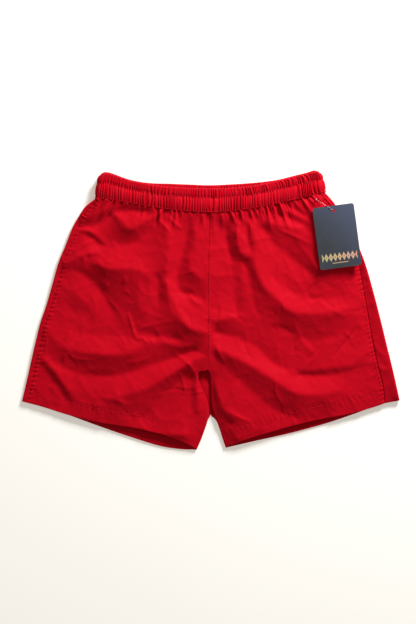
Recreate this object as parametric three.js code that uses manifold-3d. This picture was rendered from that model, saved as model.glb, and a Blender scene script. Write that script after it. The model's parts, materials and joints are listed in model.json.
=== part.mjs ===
// Lightweight woven sports shorts with an elasticated waist, lying flat on their back.
// Millimetres. +X points to the wearer's left, +Y to the waist and +Z up from the surface.
// The origin is on the surface, under the middle of the shorts.

import * as THREE from 'three';
import { mergeVertices } from 'three/addons/utils/BufferGeometryUtils.js';
import Module from 'manifold-3d';

const wasm = await Module();
wasm.setup();

// Outline of the shorts
const lengthOverall = 404.6; // waist corner to the hem at the inner leg
const hemHalfWidth = 275; // centre line to the side fold, at the hem
const waistSeamHalfWidth = 166.5; // centre line to the side fold, at the waistband seam
const waistTopHalfWidth = 155.5; // the same at the top edge of the band
const bandHeightAtCentre = 40.5;
const bandHeightAtSide = 34.8;
const waistTopRise = 20.3; // how far the top edge dips between its corners
const outerLegRise = 73.3; // the hem climbs this far from the inner leg to the side
const hemSag = 5; // bow of the hem below a straight line
const frontHemRise = 7; // the front hem sits this far above the back hem
const sideFlare = 0.62; // below 1 the side swells out quickly under the band
const inseamLength = 110;
const legGapAtCrotch = 1; // centre line to the inner leg, just under the crotch
const legGapAtHem = 20;
const legSpread = 2.8;

// Cloth and how high the lying shorts stand
const clothThickness = 1; // one layer with its crumples
const loftAtHem = 14;
const loftAtWaist = 15.6;
const bandUnderside = 0.9;
const undersideRun = 0.1; // share of the drop over which the back comes down to the surface
const foldRadiusAtHem = 24; // width of the rounded side fold
const seamInsetAtWaist = 5.5; // side fold to the side seam
const seamInsetAtHem = { left: 21, right: 8 };
const inseamCurl = 12; // width over which the front turns down to the inseam
const inseamCurlPower = 2.5;
const inseamEndHeight = 1.7;
const crotchBlend = 0.1; // share of the drop over which the curl starts

// Waistband
const casingDepth = 4.4; // outer face to inner face of the tunnel
const tunnelEdge = 0.06; // share of the band height closed at the top of the tunnel
const casingRounding = 1.2;
const casingShoulder = 0.04;
const elasticThickness = 1.6;
const elasticFrom = 0.07;
const elasticTo = 0.88;
const middleStitchAt = 0.64;
const lowerStitchAt = 0.04;

// Thread and small trims
const seamGap = 0.3;
const threadWidth = 0.8;
const threadHeight = 0.5;
const centreStitchOffset = 1.8;
const sideStitchOffset = 3;
const sideStitchEnds = { top: 0.03, bottom: 0.985 };
const hemDepth = 18.5;
const hemStitchMargin = 3;
const bartackWidth = 1.6;
const bartackHeight = 0.6;
const bartackReach = { outwards: 3.5, inwards: 2.1 };
const pocketMouth = { top: 0.09, bottom: 0.46 };

// Pocket bags, pressed flat under the front panels
const pocketDrop = { top: 0.1, bottom: 0.52 };
const pocketDepth = 104;
const pocketNarrowest = 0.35;
const pocketThickness = 1.2;
const pocketClearance = 0.4;
const pocketFromSeam = 2;

// Care label inside the back
const labelWidth = 35;
const labelLength = 48;
const labelThickness = 0.4;

// Swing tag and its nylon fastener
const tagWidth = 60;
const tagLength = 90;
const tagThickness = 0.6;
const tagCorner = 3.5;
const tagTurn = THREE.MathUtils.degToRad(7.6);
const tagHoleRadius = 2;
const tagHoleFromTop = 7;
const filamentRadius = 0.35;
const loopBend = 1.05; // half the distance between the two runs of the loop
const loopReach = 29.7; // fastener to the hole of the tag
const loopDirection = THREE.MathUtils.degToRad(-32.1);
const fastenerFromFold = 13.5;
const fastenerBelowSeam = 3;
const eyeBar = 0.6;
const eyeHoleWidth = 1.8;
const eyeBaseHeight = 0.5;
const stemRadius = 0.45;
const stemClearance = 0.4;
const crossbarRadius = 0.6;
const crossbarLength = 8;

// Fineness of the surfaces
const rowsBelowCrotch = 6;
const rowsAboveCrotch = 11;
const rowCrowding = 1.5; // above 1 the rows crowd towards the waist
const frontStations = 14;
const backFlatStations = 7;
const backFoldStations = 9;
const slantStep = 0.02;
const bandStraightSteps = 17;
const bandEndSteps = 8;
const threadSteps = 26;
const roundSides = 12;

// Derived places
const waistCornerY = lengthOverall / 2;
const hemInnerY = -lengthOverall / 2;
const bandTopY = waistCornerY - waistTopRise;
const waistSeamY = bandTopY - bandHeightAtCentre;
const waistSeamRise = waistCornerY - bandHeightAtSide - waistSeamY;
const panelTopY = waistSeamY - seamGap;
const panelDropInner = panelTopY - hemInnerY;
const hemOuterY = hemInnerY + outerLegRise;
const crotchDrop = 1 - inseamLength / panelDropInner;
const bandEndRadius = (loftAtWaist - bandUnderside) / 2;
const bandMiddleZ = bandUnderside + bandEndRadius;
const tunnelDepth = casingDepth - 2 * clothThickness;
const elasticDepth = clothThickness + (tunnelDepth - elasticThickness) / 2;
const threadTop = loftAtWaist + seamGap + threadHeight;
const loopZ = threadTop + seamGap + filamentRadius + loopBend;
const fastenerX = waistSeamHalfWidth - fastenerFromFold;
const fastenerY = waistSeamHeightAt(fastenerX) - fastenerBelowSeam;
const holeX = fastenerX + loopReach * Math.cos(loopDirection);
const holeY = fastenerY + loopReach * Math.sin(loopDirection);

// Materials, one for each finish
const finishes = {
  cloth: { color: 0xc4142a, roughness: 0.55, metalness: 0 },
  elastic: { color: 0xe9e6df, roughness: 0.8, metalness: 0 },
  lining: { color: 0xb01226, roughness: 0.65, metalness: 0 },
  thread: { color: 0xb81028, roughness: 0.6, metalness: 0 },
  label: { color: 0xf2f1ee, roughness: 0.5, metalness: 0 },
  nylon: { color: 0xf4f4f2, roughness: 0.3, metalness: 0 },
  card: { color: 0x3a414c, roughness: 0.35, metalness: 0 },
};

function lerp(from, to, share) {
  return from + (to - from) * share;
}

function clamp01(value) {
  return Math.min(1, Math.max(0, value));
}

function waistSeamHeightAt(x) {
  return waistSeamY + waistSeamRise * (x / waistSeamHalfWidth) ** 2;
}

// A closed solid from points and triangles, turned so that its faces point out
function solidFrom(points, triangles) {
  const a = new THREE.Vector3();
  const b = new THREE.Vector3();
  let volume = 0;
  for (const [i, j, k] of triangles) {
    a.copy(points[i]);
    b.copy(points[j]).cross(points[k]);
    volume += a.dot(b);
  }
  const ordered = volume < 0 ? triangles.map(([i, j, k]) => [i, k, j]) : triangles;
  const geometry = new THREE.BufferGeometry();
  geometry.setFromPoints(points);
  geometry.setIndex(ordered.flat());
  return geometry;
}

// Two grids of the same size, joined round their edges
function sheetSolid(outer, inner) {
  const rows = outer.length;
  const columns = outer[0].length;
  const points = [...outer.flat(), ...inner.flat()];
  const at = (layer, row, column) => (layer * rows + row) * columns + column;
  const triangles = [];
  const quad = (a, b, c, d) => triangles.push([a, b, c], [a, c, d]);
  for (let row = 0; row < rows - 1; row++) {
    for (let column = 0; column < columns - 1; column++) {
      quad(at(0, row, column), at(0, row, column + 1), at(0, row + 1, column + 1), at(0, row + 1, column));
      triangles.push([at(1, row, column), at(1, row + 1, column + 1), at(1, row, column + 1)]);
      triangles.push([at(1, row, column), at(1, row + 1, column), at(1, row + 1, column + 1)]);
    }
  }
  const last = columns - 1;
  for (let row = 0; row < rows - 1; row++) {
    quad(at(0, row, 0), at(0, row + 1, 0), at(1, row + 1, 0), at(1, row, 0));
    quad(at(0, row + 1, last), at(0, row, last), at(1, row, last), at(1, row + 1, last));
  }
  const end = rows - 1;
  for (let column = 0; column < last; column++) {
    quad(at(0, 0, column + 1), at(0, 0, column), at(1, 0, column), at(1, 0, column + 1));
    quad(at(0, end, column), at(0, end, column + 1), at(1, end, column + 1), at(1, end, column));
  }
  return solidFrom(points, triangles);
}

// Sections of equal length joined one after another; a ring closes on its first section
function sectionSolid(sections, isRing) {
  const sides = sections[0].length;
  const count = sections.length;
  const at = (section, side) => (section % count) * sides + (side % sides);
  const triangles = [];
  const joins = isRing ? count : count - 1;
  for (let section = 0; section < joins; section++) {
    for (let side = 0; side < sides; side++) {
      triangles.push([at(section, side), at(section, side + 1), at(section + 1, side + 1)]);
      triangles.push([at(section, side), at(section + 1, side + 1), at(section + 1, side)]);
    }
  }
  if (!isRing) {
    for (let side = 1; side < sides - 1; side++) {
      triangles.push([at(0, 0), at(0, side + 1), at(0, side)]);
      triangles.push([at(count - 1, 0), at(count - 1, side), at(count - 1, side + 1)]);
    }
  }
  return solidFrom(sections.flat(), triangles);
}

function toManifold(geometry) {
  const bare = geometry.clone();
  bare.deleteAttribute('normal');
  bare.deleteAttribute('uv');
  const merged = mergeVertices(bare);
  const vertProperties = new Float32Array(merged.attributes.position.array);
  const triVerts = new Uint32Array(merged.index.array);
  return new wasm.Manifold(new wasm.Mesh({ numProp: 3, vertProperties, triVerts }));
}

function fromManifold(solid) {
  const mesh = solid.getMesh();
  const geometry = new THREE.BufferGeometry();
  geometry.setAttribute('position', new THREE.Float32BufferAttribute(mesh.vertProperties, 3));
  geometry.setIndex(Array.from(mesh.triVerts));
  return geometry;
}

function foldXAt(drop) {
  return waistSeamHalfWidth + (hemHalfWidth - waistSeamHalfWidth) * drop ** sideFlare;
}

// One row across half of the shorts. The drop is 0 at the waistband seam and 1 at the hem
function rowAt(drop, sideName) {
  const foldX = foldXAt(drop);
  const slant = (foldXAt(drop + slantStep) - foldX) / (panelDropInner * slantStep);
  const legShare = clamp01((drop - crotchDrop) / (1 - crotchDrop));
  const spread = lerp(legGapAtCrotch, legGapAtHem, legShare ** legSpread);
  const innerX = drop > crotchDrop ? spread : seamGap / 2;
  const innerY = panelTopY - panelDropInner * drop;
  const outerTopY = panelTopY + waistSeamRise;
  const foldY = lerp(outerTopY, hemOuterY, drop);
  const underside = bandUnderside * clamp01(1 - drop / undersideRun) ** 2;
  const loft = lerp(loftAtWaist, loftAtHem, drop);
  return {
    drop,
    foldX,
    innerX,
    innerY,
    foldY,
    underside,
    loft,
    sag: lerp(waistSeamRise / 4, hemSag, drop),
    foldRadius: lerp(bandEndRadius, foldRadiusAtHem, drop),
    halfLoft: (loft - underside) / 2,
    middleZ: (loft + underside) / 2,
    seamInset: lerp(seamInsetAtWaist, seamInsetAtHem[sideName], drop),
    seamWidth: seamGap * Math.hypot(1, slant), // along X, where the seam runs at a slant
    curl: clamp01((drop - crotchDrop) / crotchBlend + 1),
  };
}

function rowY(row, x) {
  const share = (x - row.innerX) / (row.foldX - row.innerX);
  const bow = 4 * share * (1 - share);
  return lerp(row.innerY, row.foldY, share) - row.sag * bow;
}

// The front hem lifts clear of the back hem between the two seams
function frontY(row, x) {
  const share = clamp01((x - row.innerX) / (row.foldX - row.seamInset - row.innerX));
  const nearHem = clamp01(1 - (1 - row.drop) / (1 - crotchDrop)) ** 2;
  return rowY(row, x) + frontHemRise * 4 * share * (1 - share) * nearHem;
}

function frontHeight(row, x) {
  const onFold = clamp01((row.foldX - x) / row.foldRadius);
  const rounded = row.middleZ + row.halfLoft * Math.sqrt(1 - (1 - onFold) ** 2);
  const onCurl = clamp01((x - row.innerX) / inseamCurl);
  const drop = row.curl * (row.loft - inseamEndHeight) * (1 - onCurl) ** inseamCurlPower;
  return rounded - drop;
}

// A point at some depth under the front's outer face; a negative depth lies outside it
function frontPoint(side, row, x, depth) {
  const step = 0.01;
  const slope = (frontHeight(row, x + step) - frontHeight(row, x - step)) / (2 * step);
  const steep = Math.hypot(1, slope);
  const movedX = x + (depth * slope) / steep;
  const z = frontHeight(row, x) - depth / steep;
  return new THREE.Vector3(side * movedX, frontY(row, movedX), z);
}

function rowDrops() {
  const drops = [];
  for (let k = 0; k <= rowsBelowCrotch; k++) {
    drops.push(lerp(1, crotchDrop, k / rowsBelowCrotch));
  }
  for (let k = 1; k <= rowsAboveCrotch; k++) {
    drops.push(crotchDrop * (1 - k / rowsAboveCrotch) ** rowCrowding);
  }
  return drops;
}

function evenlyEased(count) {
  return Array.from({ length: count + 1 }, (_, k) => 0.5 - 0.5 * Math.cos((Math.PI * k) / count));
}

function frontPanel(sideName) {
  const side = sideName === 'left' ? 1 : -1;
  const grid = (depth) => rowDrops().map((drop) => {
    const row = rowAt(drop, sideName);
    const seamX = row.foldX - row.seamInset - row.seamWidth;
    return evenlyEased(frontStations).map((share) => {
      return frontPoint(side, row, lerp(row.innerX, seamX, share), depth);
    });
  });
  return sheetSolid(grid(0), grid(clothThickness));
}

// The back lies on the surface, wraps round the side fold and ends at the side seam
function backPanel(sideName) {
  const side = sideName === 'left' ? 1 : -1;
  const grid = (depth) => rowDrops().map((drop) => {
    const row = rowAt(drop, sideName);
    const flatEnd = row.foldX - row.foldRadius;
    const points = [];
    for (let k = 0; k < backFlatStations; k++) {
      const x = lerp(row.innerX, flatEnd, k / backFlatStations);
      points.push(new THREE.Vector3(side * x, rowY(row, x), row.underside + depth));
    }
    const seamAngle = Math.acos(1 - row.seamInset / row.foldRadius);
    for (let k = 0; k <= backFoldStations; k++) {
      const angle = lerp(-Math.PI / 2, seamAngle, k / backFoldStations);
      const outX = Math.cos(angle) / row.foldRadius;
      const outZ = Math.sin(angle) / row.halfLoft;
      const length = Math.hypot(outX, outZ);
      const x = flatEnd + row.foldRadius * Math.cos(angle) - (depth * outX) / length;
      const z = row.middleZ + row.halfLoft * Math.sin(angle) - (depth * outZ) / length;
      points.push(new THREE.Vector3(side * x, rowY(row, x), z));
    }
    return points;
  });
  return sheetSolid(grid(0), grid(clothThickness));
}

function pierceHole() {
  const radius = stemRadius + stemClearance;
  const hole = new THREE.CylinderGeometry(radius, radius, 4 * clothThickness, roundSides);
  hole.rotateX(Math.PI / 2);
  hole.translate(fastenerX, fastenerY, loftAtWaist);
  return hole;
}

function piercedFrontPanel() {
  const panel = toManifold(frontPanel('left'));
  return fromManifold(panel.subtract(toManifold(pierceHole())));
}

// Places round the flattened waist: x as a share of the straight half, or an angle at an end
function waistStations() {
  const stations = [];
  for (let k = 0; k < bandStraightSteps; k++) {
    stations.push({ along: lerp(-1, 1, k / bandStraightSteps), angle: Math.PI / 2 });
  }
  for (let k = 0; k < bandEndSteps; k++) {
    stations.push({ along: 1, angle: lerp(Math.PI / 2, -Math.PI / 2, k / bandEndSteps) });
  }
  for (let k = 0; k < bandStraightSteps; k++) {
    stations.push({ along: lerp(1, -1, k / bandStraightSteps), angle: -Math.PI / 2 });
  }
  for (let k = 0; k < bandEndSteps; k++) {
    stations.push({ along: -1, angle: lerp(-Math.PI / 2, Math.PI / 2, k / bandEndSteps) });
  }
  return stations;
}

// A point of the band: depth in from its outer face, share of its height up from the seam
function bandPoint(station, depth, share) {
  const halfWidth = lerp(waistSeamHalfWidth, waistTopHalfWidth, share);
  const radius = bandEndRadius - depth;
  const straight = halfWidth - bandEndRadius;
  const x = station.along * (straight + radius * Math.cos(station.angle));
  const rise = lerp(waistSeamRise, waistTopRise, share) * (x / halfWidth) ** 2;
  const y = lerp(waistSeamY, bandTopY, share) + rise;
  return new THREE.Vector3(x, y, bandMiddleZ + radius * Math.sin(station.angle));
}

function bandRing(profile) {
  const sections = waistStations().map((station) => {
    return profile.map(([depth, share]) => bandPoint(station, depth, share));
  });
  return sectionSolid(sections, true);
}

// The tunnel is drawn open at its lower edge, where the real one is sewn to the panels
function waistbandCasing() {
  const roofShare = 1 - tunnelEdge;
  const shoulder = 1 - casingShoulder;
  const innerWall = casingDepth - clothThickness;
  return bandRing([
    [0, 0],
    [0, shoulder],
    [casingRounding, 1],
    [casingDepth - casingRounding, 1],
    [casingDepth, shoulder],
    [casingDepth, 0],
    [innerWall, 0],
    [innerWall, roofShare],
    [clothThickness, roofShare],
    [clothThickness, 0],
  ]);
}

function waistElastic() {
  return bandRing([
    [elasticDepth, elasticFrom],
    [elasticDepth, elasticTo],
    [elasticDepth + elasticThickness, elasticTo],
    [elasticDepth + elasticThickness, elasticFrom],
  ]);
}

function waistbandStitch(share) {
  const halfWidth = threadWidth / 2 / bandHeightAtCentre;
  const near = -seamGap;
  const far = -seamGap - threadHeight;
  return bandRing([
    [near, share - halfWidth],
    [near, share + halfWidth],
    [far, share + halfWidth],
    [far, share - halfWidth],
  ]);
}

// A flat thread that follows places on the front, each a row and an x
function threadOnFront(side, places, width, height) {
  const centres = places.map(({ row, x }) => frontPoint(side, row, x, -seamGap));
  const tops = places.map(({ row, x }) => frontPoint(side, row, x, -seamGap - height));
  const sections = centres.map((centre, k) => {
    const before = centres[Math.max(0, k - 1)];
    const after = centres[Math.min(centres.length - 1, k + 1)];
    const along = after.clone().sub(before).normalize();
    const up = tops[k].clone().sub(centre).normalize();
    const across = new THREE.Vector3().crossVectors(along, up).normalize().multiplyScalar(width / 2);
    return [
      centre.clone().sub(across),
      centre.clone().add(across),
      tops[k].clone().add(across),
      tops[k].clone().sub(across),
    ];
  });
  return sectionSolid(sections, false);
}

function spacedShares(count) {
  return Array.from({ length: count + 1 }, (_, k) => k / count);
}

function centreFrontStitch() {
  const bottom = crotchDrop - crotchBlend;
  const places = spacedShares(threadSteps).map((share) => {
    const row = rowAt(lerp(bottom, seamGap / lengthOverall, share), 'left');
    return { row, x: row.innerX + centreStitchOffset };
  });
  return threadOnFront(1, places, threadWidth, threadHeight);
}

function sideStitch(sideName) {
  const places = spacedShares(threadSteps).map((share) => {
    const row = rowAt(lerp(sideStitchEnds.bottom, sideStitchEnds.top, share), sideName);
    return { row, x: row.foldX - row.seamInset - sideStitchOffset };
  });
  return threadOnFront(sideName === 'left' ? 1 : -1, places, threadWidth, threadHeight);
}

function hemStitch(sideName) {
  const row = rowAt(1 - hemDepth / panelDropInner, sideName);
  const from = row.innerX + inseamCurl;
  const to = row.foldX - row.seamInset - sideStitchOffset - hemStitchMargin;
  const places = spacedShares(threadSteps).map((share) => ({ row, x: lerp(from, to, share) }));
  return threadOnFront(sideName === 'left' ? 1 : -1, places, threadWidth, threadHeight);
}

// A bar of close stitches across the side seam at one end of a pocket mouth
function pocketBartack(sideName, drop) {
  const row = rowAt(drop, sideName);
  const seamX = row.foldX - row.seamInset;
  const from = seamX + Math.min(bartackReach.outwards, row.seamInset / 2);
  const to = seamX - bartackReach.inwards;
  const places = spacedShares(6).map((share) => ({ row, x: lerp(from, to, share) }));
  return threadOnFront(sideName === 'left' ? 1 : -1, places, bartackWidth, bartackHeight);
}

function pocketBag(sideName) {
  const side = sideName === 'left' ? 1 : -1;
  const nearest = clothThickness + pocketClearance;
  const grid = (depth) => spacedShares(10).map((share) => {
    const row = rowAt(lerp(pocketDrop.bottom, pocketDrop.top, share), sideName);
    const outerX = row.foldX - row.seamInset - pocketFromSeam;
    const fullness = 1 - Math.abs(2 * share - 1) ** 3;
    const width = pocketDepth * lerp(pocketNarrowest, 1, fullness);
    return evenlyEased(8).map((across) => frontPoint(side, row, outerX - width * across, depth));
  });
  return sheetSolid(grid(nearest), grid(nearest + pocketThickness));
}

function careLabel() {
  const label = new THREE.BoxGeometry(labelWidth, labelLength, labelThickness);
  const base = bandUnderside + clothThickness + seamGap;
  label.translate(0, panelTopY - labelLength / 2, base + labelThickness / 2);
  return label;
}

function roundedRectangle(width, height, radius) {
  const halfWidth = width / 2;
  const halfHeight = height / 2;
  const shape = new THREE.Shape();
  shape.moveTo(-halfWidth + radius, -halfHeight);
  shape.lineTo(halfWidth - radius, -halfHeight);
  shape.absarc(halfWidth - radius, -halfHeight + radius, radius, -Math.PI / 2, 0, false);
  shape.lineTo(halfWidth, halfHeight - radius);
  shape.absarc(halfWidth - radius, halfHeight - radius, radius, 0, Math.PI / 2, false);
  shape.lineTo(-halfWidth + radius, halfHeight);
  shape.absarc(-halfWidth + radius, halfHeight - radius, radius, Math.PI / 2, Math.PI, false);
  shape.lineTo(-halfWidth, -halfHeight + radius);
  shape.absarc(-halfWidth + radius, -halfHeight + radius, radius, Math.PI, 1.5 * Math.PI, false);
  return shape;
}

// The card hangs from its hole, which is the origin here
function swingTag() {
  const shape = roundedRectangle(tagWidth, tagLength, tagCorner);
  const hole = new THREE.Path();
  hole.absarc(0, tagLength / 2 - tagHoleFromTop, tagHoleRadius, 0, 2 * Math.PI, true);
  shape.holes.push(hole);
  const options = { depth: tagThickness, bevelEnabled: false, curveSegments: 8 };
  const card = new THREE.ExtrudeGeometry(shape, options);
  card.translate(0, tagHoleFromTop - tagLength / 2, -tagThickness / 2);
  return card;
}

// An upright loop of filament along +X: round the eye's bar at the origin, through the tag
function fastenerLoop() {
  const farEnd = loopReach - loopBend;
  const turns = 8;
  const centres = [];
  for (let k = 0; k <= turns; k++) {
    const angle = lerp(Math.PI / 2, 1.5 * Math.PI, k / turns);
    centres.push({ x: 0, angle });
  }
  for (let k = 0; k <= turns; k++) {
    const angle = lerp(-Math.PI / 2, Math.PI / 2, k / turns);
    centres.push({ x: farEnd, angle });
  }
  const sides = 8;
  const sections = centres.map(({ x, angle }) => {
    return Array.from({ length: sides }, (_, side) => {
      const around = (2 * Math.PI * side) / sides;
      const radius = loopBend + filamentRadius * Math.cos(around);
      return new THREE.Vector3(
        x + radius * Math.cos(angle),
        filamentRadius * Math.sin(around),
        radius * Math.sin(angle),
      );
    });
  });
  return sectionSolid(sections, true);
}

// Crossbar under the cloth, stem through it and an eye that the loop turns in
function fastenerAnchor() {
  const barTop = eyeBar / 2;
  const baseTop = -loopBend - filamentRadius - seamGap;
  const baseBottom = baseTop - eyeBaseHeight;
  const height = barTop - baseBottom;
  const width = eyeHoleWidth + 2 * eyeBar;
  const shape = roundedRectangle(width, height, eyeBar);
  const holeHeight = -barTop - baseTop;
  const holePoints = roundedRectangle(eyeHoleWidth, holeHeight, eyeBar / 2).getPoints(3);
  const shift = (-barTop + baseTop) / 2 - (barTop + baseBottom) / 2;
  shape.holes.push(new THREE.Path(holePoints.map((p) => new THREE.Vector2(p.x, p.y + shift))));
  const eye = new THREE.ExtrudeGeometry(shape, { depth: eyeBar, bevelEnabled: false, curveSegments: 3 });
  eye.translate(0, (barTop + baseBottom) / 2, -eyeBar / 2);
  eye.rotateX(Math.PI / 2);
  eye.rotateZ(Math.PI / 2);

  const crossbarZ = loftAtWaist - clothThickness - seamGap - crossbarRadius - loopZ;
  const stemTop = baseTop - eyeBaseHeight / 2;
  const stem = new THREE.CylinderGeometry(stemRadius, stemRadius, stemTop - crossbarZ, roundSides);
  stem.rotateX(Math.PI / 2);
  stem.translate(0, 0, (stemTop + crossbarZ) / 2);
  const crossbar = new THREE.CylinderGeometry(crossbarRadius, crossbarRadius, crossbarLength, roundSides);
  crossbar.translate(0, 0, crossbarZ);
  return fromManifold(toManifold(eye).add(toManifold(stem)).add(toManifold(crossbar)));
}

const shorts = new THREE.Group();

function addPiece(parent, name, geometry, finish) {
  const mesh = new THREE.Mesh(geometry, new THREE.MeshStandardMaterial(finishes[finish]));
  mesh.name = name;
  parent.add(mesh);
}

addPiece(shorts, 'front_panel_left', piercedFrontPanel(), 'cloth');
addPiece(shorts, 'front_panel_right', frontPanel('right'), 'cloth');
for (const sideName of ['left', 'right']) {
  addPiece(shorts, `back_panel_${sideName}`, backPanel(sideName), 'cloth');
  addPiece(shorts, `pocket_bag_${sideName}`, pocketBag(sideName), 'lining');
  addPiece(shorts, `side_topstitch_${sideName}`, sideStitch(sideName), 'thread');
  addPiece(shorts, `hem_stitch_${sideName}`, hemStitch(sideName), 'thread');
  for (const [end, drop] of [['upper', pocketMouth.top], ['lower', pocketMouth.bottom]]) {
    addPiece(shorts, `pocket_bartack_${end}_${sideName}`, pocketBartack(sideName, drop), 'thread');
  }
}
addPiece(shorts, 'centre_front_topstitch', centreFrontStitch(), 'thread');
addPiece(shorts, 'waistband_casing', waistbandCasing(), 'cloth');
addPiece(shorts, 'waist_elastic', waistElastic(), 'elastic');
addPiece(shorts, 'waistband_stitch_middle', waistbandStitch(middleStitchAt), 'thread');
addPiece(shorts, 'waistband_stitch_lower', waistbandStitch(lowerStitchAt), 'thread');
addPiece(shorts, 'care_label', careLabel(), 'label');

const fastener = new THREE.Group();
fastener.position.set(fastenerX, fastenerY, loopZ);
fastener.rotation.z = loopDirection;
addPiece(fastener, 'tag_fastener_anchor', fastenerAnchor(), 'nylon');
addPiece(fastener, 'tag_fastener_loop', fastenerLoop(), 'nylon');
shorts.add(fastener);

const tagHanger = new THREE.Group();
tagHanger.position.set(holeX, holeY, loopZ);
tagHanger.rotation.z = tagTurn;
addPiece(tagHanger, 'swing_tag', swingTag(), 'card');
shorts.add(tagHanger);

export default shorts;
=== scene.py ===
import json
import math

import bpy
import numpy as np
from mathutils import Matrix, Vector


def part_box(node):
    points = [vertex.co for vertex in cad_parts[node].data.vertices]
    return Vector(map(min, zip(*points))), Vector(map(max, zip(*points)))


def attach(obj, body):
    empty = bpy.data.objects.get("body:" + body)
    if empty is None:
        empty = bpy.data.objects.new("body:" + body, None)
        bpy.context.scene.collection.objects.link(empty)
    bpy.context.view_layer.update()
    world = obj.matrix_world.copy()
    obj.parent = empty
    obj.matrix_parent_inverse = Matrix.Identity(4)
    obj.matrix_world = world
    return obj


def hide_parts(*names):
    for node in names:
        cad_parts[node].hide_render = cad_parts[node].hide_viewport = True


# Lightweight red sports shorts lying on their back. Lengths are millimetres in the frame's own axes,
# x to the wearer's left, y to the waist, z up from the floor, except where metres are noted.
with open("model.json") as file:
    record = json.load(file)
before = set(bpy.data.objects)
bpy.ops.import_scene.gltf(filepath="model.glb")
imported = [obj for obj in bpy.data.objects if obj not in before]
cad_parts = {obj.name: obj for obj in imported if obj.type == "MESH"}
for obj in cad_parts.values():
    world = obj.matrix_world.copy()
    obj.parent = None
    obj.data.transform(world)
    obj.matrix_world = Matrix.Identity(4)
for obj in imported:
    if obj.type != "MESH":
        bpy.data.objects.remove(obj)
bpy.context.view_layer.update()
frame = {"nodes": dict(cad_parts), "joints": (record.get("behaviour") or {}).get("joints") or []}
mm = 0.001


# Points along a smooth curve through the given ones, about one per spacing
def smoothLine(points, spacing=1.0):
    given = np.array(points, float)
    out = []
    for i in range(len(given) - 1):
        before, here = given[max(i - 1, 0)], given[i]
        there, after = given[i + 1], given[min(i + 2, len(given) - 1)]
        steps = max(2, int(np.hypot(*(there - here)[:2]) / spacing))
        t = np.linspace(0, 1, steps, endpoint=False)[:, None]
        bend = 2 * before - 5 * here + 4 * there - after
        twist = 3 * here - before - 3 * there + after
        out.append(here + 0.5 * ((there - before) * t + bend * t ** 2 + twist * t ** 3))
    return np.vstack(out + [given[-1:]])


def lengthsAlong(line):
    steps = np.linalg.norm(np.diff(line, axis=0), axis=1)
    return np.concatenate([[0], np.cumsum(steps)])


# Points at the given shares of a line's length
def pointsAt(line, shares):
    run = lengthsAlong(line)
    where = np.clip(shares, 0, 1) * run[-1]
    return np.stack([np.interp(where, run, line[:, k]) for k in range(line.shape[1])], axis=-1)


# For each place, the nearest point of a line: how far along it, and how far to its left
def besideLine(line, x, y):
    best = np.full(x.shape, 1e9)
    along = np.zeros(x.shape)
    side = np.zeros(x.shape)
    run = lengthsAlong(line)
    for i in range(len(line) - 1):
        a, b = line[i], line[i + 1]
        d = b - a
        length = np.hypot(*d)
        t = np.clip(((x - a[0]) * d[0] + (y - a[1]) * d[1]) / length ** 2, 0, 1)
        offX, offY = x - a[0] - t * d[0], y - a[1] - t * d[1]
        gap = np.hypot(offX, offY)
        nearer = gap < best
        best = np.where(nearer, gap, best)
        along = np.where(nearer, run[i] + t * length, along)
        side = np.where(nearer, np.sign(d[0] * offY - d[1] * offX) * gap, side)
    return along, side


def unit(vectors):
    return vectors / np.maximum(np.linalg.norm(vectors, axis=-1, keepdims=True), 1e-9)


# Moves a border sideways, by one distance or by one for each of its points
def pulledIn(line, distance, towards):
    step = unit(np.gradient(line, axis=0))
    normal = np.stack([-step[:, 1], step[:, 0]], axis=1)
    return line + towards * np.broadcast_to(distance, len(line))[:, None] * normal


# A flat line or sheet of places raised to the given heights
def lifted(flat, heights):
    return np.concatenate([flat, heights[..., None]], axis=-1)


# A value for every x from a few (x, value) pairs, eased between them
def eased(pairs, x):
    places, values = np.array(pairs, float).T
    x = np.clip(x, places[0], places[-1])
    i = np.clip(np.searchsorted(places, x, side="right") - 1, 0, len(places) - 2)
    t = (x - places[i]) / (places[i + 1] - places[i])
    t = t * t * (3 - 2 * t)
    return values[i] * (1 - t) + values[i + 1] * t


def smoothStep(low, high, x):
    t = np.clip((x - low) / (high - low), 0, 1)
    return t * t * (3 - 2 * t)


def gridSample(grid, column, row):
    i = np.clip(np.floor(row).astype(int), 0, grid.shape[0] - 2)
    j = np.clip(np.floor(column).astype(int), 0, grid.shape[1] - 2)
    u, v = np.clip(column - j, 0, 1), np.clip(row - i, 0, 1)
    low = grid[i, j] * (1 - u) + grid[i, j + 1] * u
    high = grid[i + 1, j] * (1 - u) + grid[i + 1, j + 1] * u
    return low * (1 - v) + high * v


# Smooth seeded unevenness between -1 and 1, with lumps about one cell across
def unevenness(x, y, cell, seed):
    values = np.random.default_rng(seed).uniform(-1, 1, (64, 64))
    column, row = np.mod(x / cell + 31.7, 62), np.mod(y / cell + 29.3, 62)
    i, j = np.floor(row).astype(int), np.floor(column).astype(int)
    u, v = column - j, row - i
    u, v = u * u * (3 - 2 * u), v * v * (3 - 2 * v)
    low = values[i, j] * (1 - u) + values[i, j + 1] * u
    high = values[i + 1, j] * (1 - u) + values[i + 1, j + 1] * u
    return low * (1 - v) + high * v


# The flat patch between four border lines: rows go from start to end, columns from first to last
def patch(first, last, start, end, rows, columns):
    v, s = np.linspace(0, 1, rows), np.linspace(0, 1, columns)
    a, b = pointsAt(first, v)[:, None], pointsAt(last, v)[:, None]
    c, d = pointsAt(start, s)[None], pointsAt(end, s)[None]
    s, v = s[None, :, None], v[:, None, None]
    corners = (1 - s) * (1 - v) * a[0, 0] + s * (1 - v) * b[0, 0] + (1 - s) * v * a[-1, 0] + s * v * b[-1, 0]
    return (1 - s) * a + s * b + (1 - v) * c + v * d - corners


def addObject(name, data):
    piece = bpy.data.objects.new(name, data)
    bpy.context.scene.collection.objects.link(piece)
    return piece


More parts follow.
